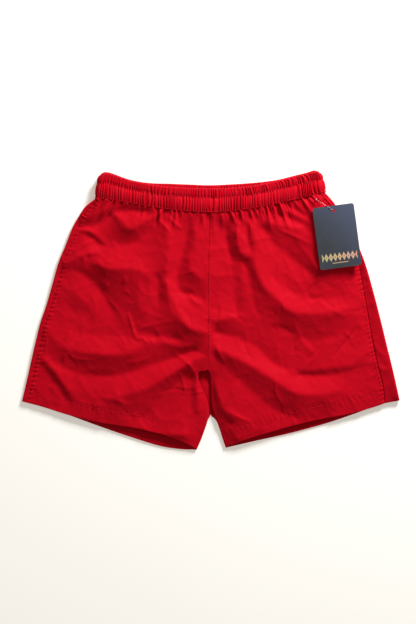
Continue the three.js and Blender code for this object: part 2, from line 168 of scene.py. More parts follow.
# A finished piece that rides on one body and stands for one node
def addPiece(name, data, finish, node, body="shorts"):
    piece = addObject(name, data)
    data.materials.append(finishes[finish])
    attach(piece, body)
    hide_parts(node)
    return piece


# A cloth surface from rows and columns of points; its UV map is the unrolled length along both
def surfaceMesh(name, points, ringed=False, flip=False):
    rows, columns = points.shape[:2]
    number = np.arange(rows * columns).reshape(rows, columns)
    across = np.linalg.norm(np.diff(points, axis=1), axis=2)
    up = np.linalg.norm(np.diff(points, axis=0), axis=2)
    u = np.concatenate([np.zeros((rows, 1)), np.cumsum(across, axis=1)], axis=1)
    v = np.concatenate([np.zeros((1, columns)), np.cumsum(up, axis=0)], axis=0)
    if ringed:
        number = np.concatenate([number, number[:, :1]], axis=1)
        closing = np.linalg.norm(points[:, 0] - points[:, -1], axis=1)[:, None]
        u = np.concatenate([u, u[:, -1:] + closing], axis=1)
        v = np.concatenate([v, v[:, :1]], axis=1)
    uv = np.stack([u, v], axis=2) * mm
    corners = [(slice(None, -1), slice(None, -1)), (slice(None, -1), slice(1, None)),
               (slice(1, None), slice(1, None)), (slice(1, None), slice(None, -1))]
    if flip:
        corners = corners[::-1]
    faces = np.stack([number[c].ravel() for c in corners], axis=1)
    faceUv = np.stack([uv[c].reshape(-1, 2) for c in corners], axis=1)
    mesh = bpy.data.meshes.new(name)
    mesh.from_pydata((points.reshape(-1, 3) * mm).tolist(), [], faces.tolist())
    mesh.uv_layers.new(name="cloth").data.foreach_set("uv", faceUv.ravel())
    mesh.shade_smooth()
    return mesh


def thicken(piece, thickness, offset=-1):
    solid = piece.modifiers.new("thickness", "SOLIDIFY")
    solid.thickness = thickness * mm
    solid.offset = offset
    solid.use_even_offset = False


# A piece of cloth from its surface, thickened behind its face or both ways
def clothPiece(name, points, finish, node, thickness, offset=-1, ringed=False, flip=False):
    piece = addPiece(name, surfaceMesh(name, points, ringed, flip), finish, node)
    thicken(piece, thickness, offset)
    return piece


# A shader value that works in Python sums; each operator adds its Math node
class Value:
    def __init__(self, finish, socket):
        self.finish = finish
        self.socket = socket

    def __add__(self, other):
        return self.finish.maths("ADD", self, other)

    def __sub__(self, other):
        return self.finish.maths("SUBTRACT", self, other)

    def __rsub__(self, other):
        return self.finish.maths("SUBTRACT", other, self)

    def __mul__(self, other):
        return self.finish.maths("MULTIPLY", self, other)

    def __truediv__(self, other):
        return self.finish.maths("DIVIDE", self, other)

    def __rtruediv__(self, other):
        return self.finish.maths("DIVIDE", other, self)

    __radd__ = __add__
    __rmul__ = __mul__


# A material under construction round its Principled shader
class Finish:
    def __init__(self, name, constants):
        self.material = bpy.data.materials.new(name)
        self.material.use_nodes = True
        self.tree = self.material.node_tree
        self.shader = self.tree.nodes["Principled BSDF"]
        for socket, value in constants.items():
            self.shader.inputs[socket].default_value = value

    def node(self, kind, settings=None, sockets=None, output=0):
        made = self.tree.nodes.new(kind)
        for setting, value in (settings or {}).items():
            if setting == "stops":
                self.setStops(made.color_ramp, value)
            else:
                setattr(made, setting, value)
        for socket, value in (sockets or {}).items():
            if isinstance(value, Value):
                self.tree.links.new(value.socket, made.inputs[socket])
            else:
                made.inputs[socket].default_value = value
        return Value(self, made.outputs[output])

    def setStops(self, ramp, stops):
        for place, _ in stops[2:]:
            ramp.elements.new(place)
        for element, (place, colour) in zip(ramp.elements, stops):
            element.position = place
            element.color = colour

    def feed(self, socket, value):
        self.tree.links.new(value.socket, self.shader.inputs[socket])

    def maths(self, operation, *values):
        return self.node("ShaderNodeMath", {"operation": operation}, dict(enumerate(values)))

    def mapped(self, value, low, high, start=0.0, end=1.0):
        return self.node("ShaderNodeMapRange", None, {0: value, 1: low, 2: high, 3: start, 4: end})

    def split(self, vector):
        parts = self.node("ShaderNodeSeparateXYZ", None, {0: vector}).socket.node
        return [Value(self, output) for output in parts.outputs]

    def mixColours(self, share, first, second):
        return self.node("ShaderNodeMix", {"data_type": "RGBA"}, {0: share, 6: first, 7: second}, output=2)

    def clothPlace(self):
        return self.node("ShaderNodeUVMap", {"uv_map": "cloth"})

    def objectPlace(self):
        return self.node("ShaderNodeTexCoord", output=3)

    def facing(self):
        return self.node("ShaderNodeTexCoord", output=1)

    def noise(self, place, scale, detail=2.0, roughness=0.5):
        return self.node("ShaderNodeTexNoise", None,
                         {"Vector": place, "Scale": scale, "Detail": detail, "Roughness": roughness})

    def wave(self, place, direction, scale, distortion):
        return self.node("ShaderNodeTexWave", {"bands_direction": direction},
                         {"Vector": place, "Scale": scale, "Distortion": distortion}, output=1)

    def bump(self, height, strength, depth, under=None):
        sockets = {"Height": height, "Strength": strength, "Distance": depth * mm}
        if under:
            sockets["Normal"] = under
        return self.node("ShaderNodeBump", None, sockets)


shell = {
    "colour": (0.54, 0.0030, 0.0130, 1),
    "shadeColour": (0.45, 0.0016, 0.0080, 1),
    "roughness": 0.6,
    "specular": 0.12,
    "specularTint": (1.0, 0.12, 0.24, 1),
    "sheen": 0.26,
    "sheenRoughness": 0.42,
    "sheenTint": (1.0, 0.05, 0.14, 1),
    "threadPitch": 0.42,
    "threadDepth": 0.03,
    "slubScale": 900.0,
    "patchScale": 24.0,
    "crumpleSize": 9.0,
    "crumpleDepth": 0.22,
    "wrinkleSize": 30.0,
    "wrinkleDepth": 0.3,
    # Painted shade on the rims that face the window light: their lean, where it starts and ends, its strength
    # and its colour
    "rimLean": 0.7,  # how much the wearer's left counts beside the waist end
    "rimFrom": 0.35,
    "rimTo": 0.95,
    "rimShade": 0.75,
    "rimPaintedShadeColour": (0.30, 0.0010, 0.0050, 1),
}

# Painted shade: the pocket lining is the shell's red made darker, because the bags lie inside the shorts
lining = {
    "colour": (0.44, 0.0026, 0.010, 1),
    "shadeColour": (0.36, 0.0014, 0.007, 1),
    "sheen": 0.1,
}


# Closely woven microfibre with a dull satin face
def clothFinish(name, cloth):
    finish = Finish(name, {
        "Specular IOR Level": shell["specular"],
        "Specular Tint": shell["specularTint"],
        "Sheen Weight": cloth["sheen"],
        "Sheen Roughness": shell["sheenRoughness"],
        "Sheen Tint": shell["sheenTint"],
    })
    place = finish.clothPlace()
    across, up, _ = finish.split(place)
    perThread = 2 * math.pi / (shell["threadPitch"] * mm)
    weave = finish.maths("SINE", across * perThread) * finish.maths("SINE", up * perThread) * 0.5 + 0.5
    slubs = finish.noise(place, shell["slubScale"], 1.0)
    patches = finish.noise(place, shell["patchScale"], 3.0)
    mottle = patches * 0.55 + slubs * 0.25 + weave * 0.2
    face = finish.mixColours(mottle, cloth["shadeColour"], cloth["colour"])
    # Painted shade: rims that face the waist end and the wearer's left, where the window light comes from,
    # are darkened by which way they face
    toLeft, toWaist, _ = finish.split(finish.facing())
    rim = finish.mapped(toWaist + toLeft * shell["rimLean"], shell["rimFrom"], shell["rimTo"],
                        end=shell["rimShade"])
    finish.feed("Base Color", finish.mixColours(rim, face, shell["rimPaintedShadeColour"]))
    finish.feed("Roughness", shell["roughness"] + (patches - 0.5) * 0.12 + (weave - 0.5) * 0.06)
    crumple = finish.noise(place, 1 / (shell["crumpleSize"] * mm), 4.0, 0.55)
    wrinkles = finish.node("ShaderNodeTexNoise", {"noise_type": "RIDGED_MULTIFRACTAL"}, {
        "Vector": place, "Scale": 1 / (shell["wrinkleSize"] * mm), "Detail": 3.0, "Roughness": 0.5})
    creased = finish.bump(wrinkles, 1.0, shell["wrinkleDepth"])
    soft = finish.bump(crumple, 1.0, shell["crumpleDepth"], creased)
    finish.feed("Normal", finish.bump(weave, 0.35, shell["threadDepth"], soft))
    return finish.material


# Painted light: the thread is the cloth's red made lighter, so that the stitches don't look dark where they
# sit in shade
thread = {
    "colour": (0.72, 0.0050, 0.0190, 1),
    "shadeColour": (0.60, 0.0030, 0.0130, 1),
    "roughness": 0.5,
    "specular": 0.35,
    "sheen": 0.2,
    "twistScale": 900.0,
    "twistDepth": 0.08,
    "fuzzScale": 260.0,
}


# Spun polyester thread with a fine twist
def threadFinish():
    finish = Finish("sewingThread", {
        "Roughness": thread["roughness"],
        "Specular IOR Level": thread["specular"],
        "Specular Tint": shell["specularTint"],
        "Sheen Weight": thread["sheen"],
        "Sheen Tint": shell["sheenTint"],
    })
    place = finish.objectPlace()
    twist = finish.wave(place, "DIAGONAL", thread["twistScale"], 1.0)
    fuzz = finish.noise(place, thread["fuzzScale"])
    finish.feed("Base Color", finish.mixColours(fuzz, thread["shadeColour"], thread["colour"]))
    finish.feed("Normal", finish.bump(twist, 0.5, thread["twistDepth"]))
    return finish.material


elastic = {
    "colour": (0.86, 0.85, 0.82, 1),
    "shadeColour": (0.52, 0.51, 0.47, 1),
    "roughness": 0.75,
    "sheen": 0.3,
    "ribScale": 120.0,
    "knitScale": 1500.0,
    "ribDepth": 0.3,
}


# Knitted elastic: pale ribs along the band with rubber cores
def elasticFinish():
    finish = Finish("knittedElastic", {"Roughness": elastic["roughness"], "Sheen Weight": elastic["sheen"]})
    place = finish.clothPlace()
    ribs = finish.wave(place, "Y", elastic["ribScale"], 0.6)
    knit = finish.noise(place, elastic["knitScale"], 2.0)
    tone = ribs * 0.7 + knit * 0.3
    finish.feed("Base Color", finish.mixColours(tone, elastic["shadeColour"], elastic["colour"]))
    finish.feed("Normal", finish.bump(ribs + knit * 0.4, 0.7, elastic["ribDepth"]))
    return finish.material


satin = {
    "colour": (0.9, 0.9, 0.88, 1),
    "shadeColour": (0.78, 0.77, 0.74, 1),
    "roughness": 0.38,
    "specular": 0.5,
    "sheen": 0.25,
    "grainScale": 700.0,
    "grainDepth": 0.05,
}


# Woven satin label
def labelFinish():
    finish = Finish("satinLabel", {
        "Roughness": satin["roughness"],
        "Sheen Weight": satin["sheen"],
        "Specular IOR Level": satin["specular"],
    })
    place = finish.clothPlace()
    grain = finish.wave(place, "X", satin["grainScale"], 0.4)
    ageing = finish.noise(place, 60.0, 3.0)
    finish.feed("Base Color", finish.mixColours(ageing, satin["shadeColour"], satin["colour"]))
    finish.feed("Normal", finish.bump(grain, 0.4, satin["grainDepth"]))
    return finish.material


nylon = {
    "colour": (0.9, 0.91, 0.92, 1),
    "hazeColour": (0.72, 0.74, 0.76, 1),
    "refraction": 1.53,
    "clearness": 0.9,
    "coat": 0.2,
    "hazeScale": 700.0,
    "hazeDepth": 0.05,
}


# Clear nylon with a milky body
def nylonFinish():
    finish = Finish("nylonFilament", {
        "IOR": nylon["refraction"],
        "Transmission Weight": nylon["clearness"],
        "Coat Weight": nylon["coat"],
    })
    haze = finish.noise(finish.objectPlace(), nylon["hazeScale"], 2.0)
    finish.feed("Base Color", finish.mixColours(haze, nylon["hazeColour"], nylon["colour"]))
    finish.feed("Roughness", 0.2 + haze * 0.15)
    finish.feed("Normal", finish.bump(haze, 0.3, nylon["hazeDepth"]))
    return finish.material


tag = {
    "width": 60.0,
    "length": 90.0,
    "turn": 7.6,
    "colour": (0.034, 0.040, 0.052, 1),
    "shadeColour": (0.022, 0.026, 0.034, 1),
    "paintedReflectionColour": (0.062, 0.076, 0.135, 1),  # painted reflection, towards the upper corner where the card catches the light
    "edgeHighlightColour": (0.20, 0.21, 0.23, 1),
    "foilFromBottom": 16.2,
    "foilHeight": 12.5,
    "foilLength": 51.0,
    "foilShapes": 8,
    "foilColours": [(0.0, (0.62, 0.56, 0.26, 1)), (1.0, (0.86, 0.46, 0.34, 1)),
                    (0.2, (0.90, 0.34, 0.14, 1)), (0.45, (0.92, 0.26, 0.17, 1)),
                    (0.7, (0.82, 0.46, 0.18, 1))],
    "diamondEdge": (0.92, 1.02),
    "diamondHeart": (0.18, 0.26),
    "lineFromBottom": 7.6,
    "lineHeight": 1.3,
    "lineLength": 23.0,
    "lineStrength": 0.7,
    "printEdge": 0.12,
    "printedAbove": 0.15,  # only the upper face is printed
}


# Dark coated card with a foil band of diamonds and a thin foil line near its lower end
def cardFinish():
    low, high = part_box("swing_tag")
    finish = Finish("coatedCard", {"Specular IOR Level": 0.55, "Coat Roughness": 0.25})
    place = finish.objectPlace()
    turned = finish.node("ShaderNodeMapping", {"vector_type": "TEXTURE"}, {
        "Vector": place,
        "Location": (low + high) / 2,
        "Rotation": (0, 0, math.radians(tag["turn"])),
    })
    across, up, height = [part / mm for part in finish.split(turned)]
    fromBottom = up + tag["length"] / 2

    def within(value, middle, half):
        away = finish.maths("ABSOLUTE", value - middle)
        return finish.mapped(away, half - tag["printEdge"], half + tag["printEdge"], 1.0, 0.0)

    halfPitch = tag["foilLength"] / tag["foilShapes"] / 2
    cell = finish.maths("PINGPONG", across, halfPitch) / halfPitch
    rise = finish.maths("ABSOLUTE", fromBottom - tag["foilFromBottom"])
    shape = cell + rise / (tag["foilHeight"] / 2)
    diamonds = finish.mapped(shape, *tag["diamondEdge"], 1.0, 0.0)
    diamonds = diamonds * finish.mapped(shape, *tag["diamondHeart"])
    band = diamonds * within(across, 0.0, tag["foilLength"] / 2)
    line = within(fromBottom, tag["lineFromBottom"], tag["lineHeight"] / 2)
    line = line * within(across, 0.0, tag["lineLength"] / 2) * tag["lineStrength"]
    foil = (band + line) * finish.maths("GREATER_THAN", height, tag["printedAbove"])

    sway = finish.noise(place, 38.0, 1.0)
    play = across / tag["foilLength"] + 0.5 + (sway - 0.5) * 0.5
    rainbow = finish.node("ShaderNodeValToRGB", {"stops": tag["foilColours"]}, {0: play})
    speckle = finish.noise(place, 900.0, 2.0)
    scuffs = finish.noise(place, 45.0, 4.0, 0.6)
    # Painted reflection: the card face turns lighter and bluer towards its upper corner
    corner = finish.mapped(up / tag["length"] + across / tag["width"] * 0.8, -0.3, 0.9)
    dark = finish.mixColours(scuffs, tag["shadeColour"], tag["colour"])
    face = finish.mixColours(corner, dark, tag["paintedReflectionColour"])
    # Painted highlight: every cut edge of the card is coloured a lighter grey
    upFacing = finish.split(finish.facing())[2]
    cutEdge = finish.maths("GREATER_THAN", 1 - finish.maths("ABSOLUTE", upFacing), 0.5)
    card = finish.mixColours(cutEdge, face, tag["edgeHighlightColour"])
    finish.feed("Base Color", finish.mixColours(foil, card, rainbow))
    finish.feed("Metallic", foil * 0.35)
    finish.feed("Roughness", 0.42 + (scuffs - 0.5) * 0.12 - foil * 0.14)
    finish.feed("Coat Weight", 0.35 - foil * 0.2)
    finish.feed("Normal", finish.bump(speckle + foil * 2.0, 0.25, 0.03))
    return finish.material


finishes = {
    "shell": clothFinish("microfibreShell", shell),
    "band": clothFinish("microfibreBand", shell),
    "lining": clothFinish("pocketLining", lining),
    "thread": threadFinish(),
    "elastic": elasticFinish(),
    "label": labelFinish(),
    "nylon": nylonFinish(),
    "card": cardFinish(),
}
print("finishes made:", ", ".join(finishes))


# Right and left are the wearer's
sides = (("Right", -1), ("Left", 1))

outline = {
    "sideRight": [(-166, 162), (-172, 157.5), (-181, 150), (-190, 136.5), (-199, 120.5), (-210, 92.5),
                  (-219.5, 69), (-228.5, 37), (-237.5, 6), (-246, -19), (-255, -56), (-264, -96),
                  (-272, -130.5)],
    "sideLeft": [(166.5, 171), (173, 164.5), (182, 153.5), (196, 132), (209.5, 106), (221.5, 79),
                 (229.5, 55), (239.5, 18.5), (249.5, -21), (257.5, -54.5), (260.5, -66), (268, -98),
                 (275, -129)],
    "seamRight": [(-161, 161.5), (-168, 155), (-175, 148), (-183, 136), (-191.5, 120), (-202.5, 92),
                  (-212, 68), (-221, 36), (-230, 5), (-238.5, -20), (-247.5, -57), (-256.5, -97),
                  (-264, -132.5)],
    "seamLeft": [(159, 169.5), (166, 162), (174, 151), (187, 130), (199.5, 104), (211, 78), (216, 64),
                 (222.3, 30), (230.4, -15), (235.8, -47), (243.2, -80.6), (249.7, -105.6), (253.5, -133)],
    "hemRight": [(-19.4, -201.7), (-41, -200.8), (-71, -195.8), (-115, -182.2), (-160, -166.8),
                 (-217, -146), (-253, -135.2), (-272, -130.5)],
    "hemLeft": [(23.5, -198), (62, -189), (116, -176.8), (168, -162.6), (207, -149.6), (246, -135.4),
                (264, -130), (275, -129)],
    "frontHemRight": [(-18.6, -199.5), (-35, -190.5), (-60, -181), (-80, -176), (-100, -171),
                      (-130, -166), (-160, -161), (-200, -151.5), (-240, -139), (-264, -132.5)],
    "frontHemLeft": [(22.8, -196.5), (44, -188), (77, -178), (116, -167), (155, -157.5), (200, -149),
                     (235, -139.5), (253.5, -133)],
    "waistSeam": [(-166, 162), (-140, 159.5), (-100, 152.3), (-60, 146), (-20, 142.3), (0, 141.6),
                  (20, 142.3), (60, 147), (100, 155), (140, 164), (160, 169.5), (166.5, 171)],
    "frontInnerRight": [(-18.6, -199.5), (-9, -177), (-2, -155), (-0.8, -140), (-3, -128), (-7.5, -117),
                        (-13, -104), (-16, -94), (-12, -87.5), (-3, -84), (-2.6, -60), (-2.8, 0),
                        (-2.4, 60), (-1, 110), (0, 141.6)],
    "frontInnerLeft": [(22.8, -196.5), (13.2, -168), (5.8, -148), (2.5, -136), (1.4, -118), (0.4, -100),
                       (-2.2, -84), (-2.6, -60), (-2.8, 0), (-2.4, 60), (-1, 110), (0, 141.6)],
    "backInnerRight": [(-19.4, -201.7), (-9, -177), (-2.4, -158), (0.8, -151), (1.0, -140), (1.0, -100),
                       (0, 0), (0, 141.6)],
    "backInnerLeft": [(23.5, -198), (13.2, -168), (6.8, -156), (1.4, -151), (1.1, -140), (1.1, -100),
                      (0.1, 0), (0, 141.6)],
}

relief = {
    "step": 2.0,
    "left": -290.0,
    "right": 290.0,
    "bottom": -216.0,
    "top": 192.0,
    "restHeight": 8.0,
    "lineFirmness": 4.0,
    "coarseness": (8, 4, 2, 1),
    "sweeps": 240,
    "softening": 0.9,
    "crispness": 0.3,
    "crispWidth": 11.0,
    "ceiling": 18.4,
    "tagReach": 110.0,
    "tagRoom": 1.6,
    "tagMiddle": (178.0, 144.0),
    "tagFade": 25.0,
}

# Where the slack cloth crests and dips, as given lines of x, y and height
foldLines = {
    "borders": [
        [(-166, 162, 13), (-140, 159.5, 13), (-100, 152.3, 13), (-60, 146, 13), (-20, 142.3, 13),
         (0, 141.6, 13), (20, 142.3, 13), (60, 147, 13), (100, 155, 13), (140, 164, 13), (160, 169.5, 13),
         (166.5, 171, 13)],
        [(-190, 134, 6.6), (-208, 92, 6.2), (-225, 38, 5.4), (-244, -19, 5), (-262, -96, 4.6),
         (-270, -129, 4.2)],
        [(190, 136, 9.4), (218, 80, 9.6), (237, 18, 9.2), (247, -21, 9), (255, -56, 9), (265, -98, 8.6),
         (272, -128, 7)],
        [(178, 148, 9), (202, 100, 8.6), (218, 55, 7.8), (231, -18, 7.4), (243, -80, 7.2),
         (251, -120, 6.2)],
        [(-268, -131, 4.2), (-200, -151.5, 5.4), (-160, -161.5, 6), (-120, -167.5, 6.6), (-80, -176, 7.2),
         (-50, -184.5, 7.2), (-20, -200, 4)],
        [(272, -130, 4.5), (200, -149, 6.5), (155, -157.5, 6.6), (116, -167, 7.2), (77, -177.5, 7.6),
         (44, -188, 7.4), (25, -197, 3.5)],
        [(-18, -197, 3.5), (-8, -172, 4.5), (-1.5, -150, 5), (-4, -125, 5), (-13, -104, 5.5), (-17, -92, 8),
         (-4, -86, 9)],
        [(22, -195, 3.5), (12, -165, 4.5), (4, -143, 5), (2.5, -118, 5.5), (2, -98, 7), (-1, -86, 9)],
    ],
    "rightLeg": [
        [(-186, 131, 8.5), (-172, 137, 10.5), (-158, 144.5, 11.5), (-143, 151, 12), (-128, 155, 12)],
        [(-190, 122, 6.2), (-176, 121, 6.6), (-160, 128, 7.2), (-148, 134, 8), (-136, 142, 9.6),
         (-122, 149, 11.4)],
        [(-186, 117.5, 8), (-176, 116, 9), (-166, 109, 9.4), (-154, 100, 9.2), (-148, 97, 8.4)],
        [(-184, 111, 7.4), (-172, 107, 7.3), (-160, 97, 7.6), (-154, 94, 8)],
        [(-126, 142, 10.2), (-115, 145, 10.4), (-100, 143, 10.6), (-88, 144, 11)],
        [(-142, 141, 10.4), (-130, 134, 12.8), (-124, 126, 13.6), (-120, 121, 14), (-112, 119, 14.2),
         (-103, 124, 13.8), (-93, 130, 13.4), (-82, 136, 12.8)],
        [(-152, 118, 9), (-147, 103, 8.6), (-138, 97, 8.4), (-125, 95, 8.3), (-113, 97, 8.5),
         (-103, 102, 8.9), (-93, 110, 9.4), (-84, 120, 10), (-77, 131, 11)],
        [(-170, 72, 10.2), (-158, 66, 12.5), (-146, 61.5, 14.4), (-130, 60.5, 15.2), (-113, 61, 15.2),
         (-104, 59, 15), (-97, 54, 14.4), (-90, 49, 13.6), (-84, 45, 12.4)],
        [(-210, 66, 8.5), (-198, 75, 10), (-185, 80, 10.8), (-172, 83, 11), (-160, 84, 10.6)],
        [(-178, 76, 9.6), (-166, 79, 9.8)],
        [(-210, 55, 6.8), (-200, 57, 6.6), (-190, 55, 6.2), (-175, 46, 5.8), (-162, 34, 5.4),
         (-150, 14, 5.2), (-140, -2, 5.2)],
        [(-200, 34, 7), (-195, 27, 7.6), (-186, 19, 7.8), (-176, 9, 7.2), (-166, -2, 6.2)],
        [(-216, 22, 6.4), (-208, 10, 5.8), (-198, 1, 5.6), (-186, -6, 5.6), (-172, -9, 5.8)],
        [(-102, 56, 14.4), (-103, 45, 13.6), (-104, 30, 12.6), (-103, 15, 11.8), (-99, 3, 10.8),
         (-90, -1, 10.2), (-82, 1, 9)],
        [(-76, 50, 10), (-75, 30, 9.2), (-74, 10, 8.8)],
        [(-61, 42, 13), (-60, 25, 13), (-59, 10, 13), (-54, 1, 13.2), (-45, -10, 14.6), (-36, -18, 16),
         (-25, -26, 16.4), (-12, -30, 15.6), (-3, -31, 14)],
        [(-30, 128, 11), (-32, 115, 9.4), (-35, 100, 8.6), (-39, 85, 8.4), (-43, 70, 8.4), (-47, 55, 8.4),
         (-46, 38, 8), (-38, 26, 7.6), (-24, 24, 8), (-10, 16, 9)],
        [(-64, 122, 14), (-60, 100, 13.8), (-61, 80, 13.4), (-63, 58, 13)],
        [(-20, 118, 12.4), (-22, 100, 12.2), (-25, 85, 12), (-30, 70, 12.2), (-26, 58, 12.6),
         (-18, 51, 12.4), (-12, 46, 11.8)],
        [(-112, -26, 6.8), (-95, -33, 6.8), (-80, -36, 7), (-62, -38, 8), (-45, -42, 9.8)],
        [(-190, -30, 6.4), (-150, -36, 6.6), (-120, -34, 6.6)],
        [(-236, -24, 7.2), (-228, -38, 8), (-215, -50, 8.6), (-200, -56, 9.6), (-180, -60.5, 10.6),
         (-160, -62, 11.2), (-140, -63, 11.2), (-120, -62, 10.6), (-108, -56, 9.8), (-98, -51, 9),
         (-85, -48, 8.8), (-65, -46, 9.4), (-45, -50, 10.6), (-28, -50, 11.6)],
        [(-240, -62, 6.2), (-225, -73, 5.8), (-210, -82, 5.4), (-190, -90, 4.9), (-165, -94, 4.5),
         (-140, -94, 4.3), (-120, -90, 4.5), (-100, -83, 4.8), (-80, -77, 5.2), (-60, -71, 6),
         (-40, -64, 7), (-22, -57, 8.2)],
        [(-150, -127, 8.6), (-138, -127, 9.8), (-120, -121, 10.6), (-104, -116, 11.2), (-88, -110, 11.6),
         (-70, -100, 12), (-52, -88, 12.4), (-36, -79, 12.6), (-22, -70, 12), (-13, -65, 11)],
        [(-104, -158, 5), (-85, -145, 5.4), (-65, -125, 5.8), (-50, -108, 6.2), (-33, -92, 7)],
        [(-240, -68, 7), (-230, -80, 7.6), (-219, -94, 7.8), (-208, -110, 7.6), (-198, -124, 7),
         (-190, -134, 6)],
        [(-248, -76, 5.2), (-236, -88, 5), (-226, -100, 4.8), (-214, -116, 4.6), (-206, -130, 4.4)],
        [(-27, -95, 6), (-27, -120, 5.6), (-26, -145, 5.6)],
        [(-19, -95, 7.8), (-18, -120, 7.6), (-17, -145, 7.4)],
        [(-60, -150, 6.2), (-45, -146, 6.2), (-32, -148, 6.4)],
        [(-58, -178, 8.6), (-45, -180, 9), (-34, -178, 8.6)],
    ],
    "leftLeg": [
        [(62, 133, 11), (70, 131, 12.2), (85, 127, 13.2), (105, 122, 13.2), (125, 119, 13), (140, 113, 13)],
        [(98, 150, 12.8), (108, 146.5, 13), (120, 141, 12.8), (135, 133, 13), (146, 127, 13.8)],
        [(98, 142, 11.6), (108, 138, 11.3), (120, 132, 11.1), (135, 124.5, 11.8), (143, 120, 12.6)],
        [(118, 157, 13), (128, 151.5, 13), (140, 144, 13.6)],
        [(112, 151.5, 11.8), (122, 145.5, 11.5), (135, 138, 12), (142, 134, 12.8)],
        [(76, 120, 10.6), (87, 106, 9.8), (99, 92, 9), (112, 80, 8.4), (127, 68, 8.6), (142, 56, 9.6),
         (157, 45, 11.4), (177, 42, 11.6), (195, 46, 10.4)],
        [(92, 52, 11.2), (106, 38, 10.8), (122, 26, 10.4), (142, 19, 10.2), (170, 18, 10.2),
         (195, 22, 9.6)],
        [(38, 116, 13), (41, 100, 13.2), (44, 87, 13.2), (52, 80, 13.4), (62, 76, 13.8), (69, 55, 14.6),
         (78, 36, 15.2), (90, 24, 15.4), (100, 14, 15.4), (112, 3, 15.2), (126, -3, 14.8), (145, -4, 14.4),
         (165, -3, 13.8), (185, 0, 12.6), (200, 4, 11)],
        [(84, -22, 9.5), (100, -28, 8.7), (118, -34, 8.3), (140, -42, 8), (160, -42, 8.2), (180, -35, 8.4),
         (200, -26, 8.6)],
        [(50, 70, 10), (56, 50, 10.4), (60, 30, 10.4), (64, 10, 10.2), (70, -10, 9.8), (76, -22, 9.4)],
        [(46, 62, 10.6), (48, 40, 10.6), (50, 15, 10.4), (53, -5, 10)],
        [(33, 60, 8.6), (35, 38, 8.8), (37, 15, 8.6), (39, -5, 8.8)],
        [(22, 120, 8.6), (24, 105, 7.8), (27, 90, 7.4), (31, 75, 7.6)],
        [(53, 122, 11), (55, 104, 11.2), (58, 88, 11.8)],
        [(62, 122, 13.2), (63, 105, 13.4), (66, 88, 13.6)],
        [(8, -12, 12.8), (18, -13, 12.8), (28, -10, 12), (42, -7, 11)],
        [(4, 26, 9), (16, 27, 9.2), (28, 24, 9)],
        [(4, 4, 10.6), (16, 3, 10.8), (30, 4, 10.4)],
        [(8, -31, 8.8), (25, -35, 8.4), (45, -40, 8.2), (60, -47, 8), (72, -56, 7.8), (85, -68, 7.6),
         (95, -76, 7.6), (110, -84, 7.8)],
        [(4, -54, 11.6), (20, -59, 13.2), (40, -70, 13.8), (60, -79, 13.9), (80, -92, 13.9),
         (100, -104, 13.7), (114, -114, 13.3), (130, -120, 13), (150, -121.5, 12.4), (168, -120, 11.6),
         (186, -114, 10)],
        [(6, -64, 9.8), (20, -80, 9.8), (35, -95, 9.2), (50, -108, 8.9), (65, -120, 8.5), (80, -132, 7.9),
         (98, -146, 6.6), (120, -153, 6)],
        [(50, -175, 8.8), (75, -170, 8.6)],
        [(8, -104, 8.8), (13, -122, 9.8), (20, -140, 10.4), (30, -151, 10.4), (44, -160, 10),
         (60, -166, 9.4)],
        [(14, -160, 6.4), (30, -162, 6.6)],
        [(32, -168, 8.4), (42, -185, 8.6)],
        [(128, -83, 8.8), (150, -85, 9.4), (175, -82, 9.6), (200, -78, 9.4), (215, -70, 9),
         (228, -60, 8.6)],
        [(128, -92, 7.2), (150, -94, 7.2), (175, -92, 7.2), (200, -88, 7.2), (225, -78, 7)],
        [(157, 63, 15.6), (175, 63, 15.4), (195, 66, 14.4), (212, 72, 12)],
        [(154, 98, 15.6), (170, 99, 15.8), (190, 101, 15.4), (205, 104, 12.5)],
        [(152, 122, 15.4), (165, 122, 15.6), (180, 124, 14.6)],
        [(150, 141, 15.2), (160, 142, 15.2), (176, 142, 12.8)],
        [(149, 157, 14.9), (153, 160.5, 15.2), (157, 163, 14.9)],
    ],
    "centre": [
        [(0, 141, 11.3), (0, 120, 11), (-2, 100, 11), (-3, 80, 11), (-3, 60, 11.2), (-3, 40, 10.6),
         (-2, 20, 10.2)],
        [(-1, -40, 12.4), (-2, -60, 11.4), (-3, -75, 10), (-3, -86, 9)],
    ],
}


def softened(grid, sigma):
    reach = int(3 * sigma + 1)
    weights = np.exp(-0.5 * (np.arange(-reach, reach + 1) / sigma) ** 2)
    weights /= weights.sum()
    for axis in (0, 1):
        padded = np.pad(grid, [(reach, reach) if k == axis else (0, 0) for k in (0, 1)], mode="edge")
        span = grid.shape[axis]
        grid = sum(w * np.take(padded, range(i, i + span), axis) for i, w in enumerate(weights))
    return grid


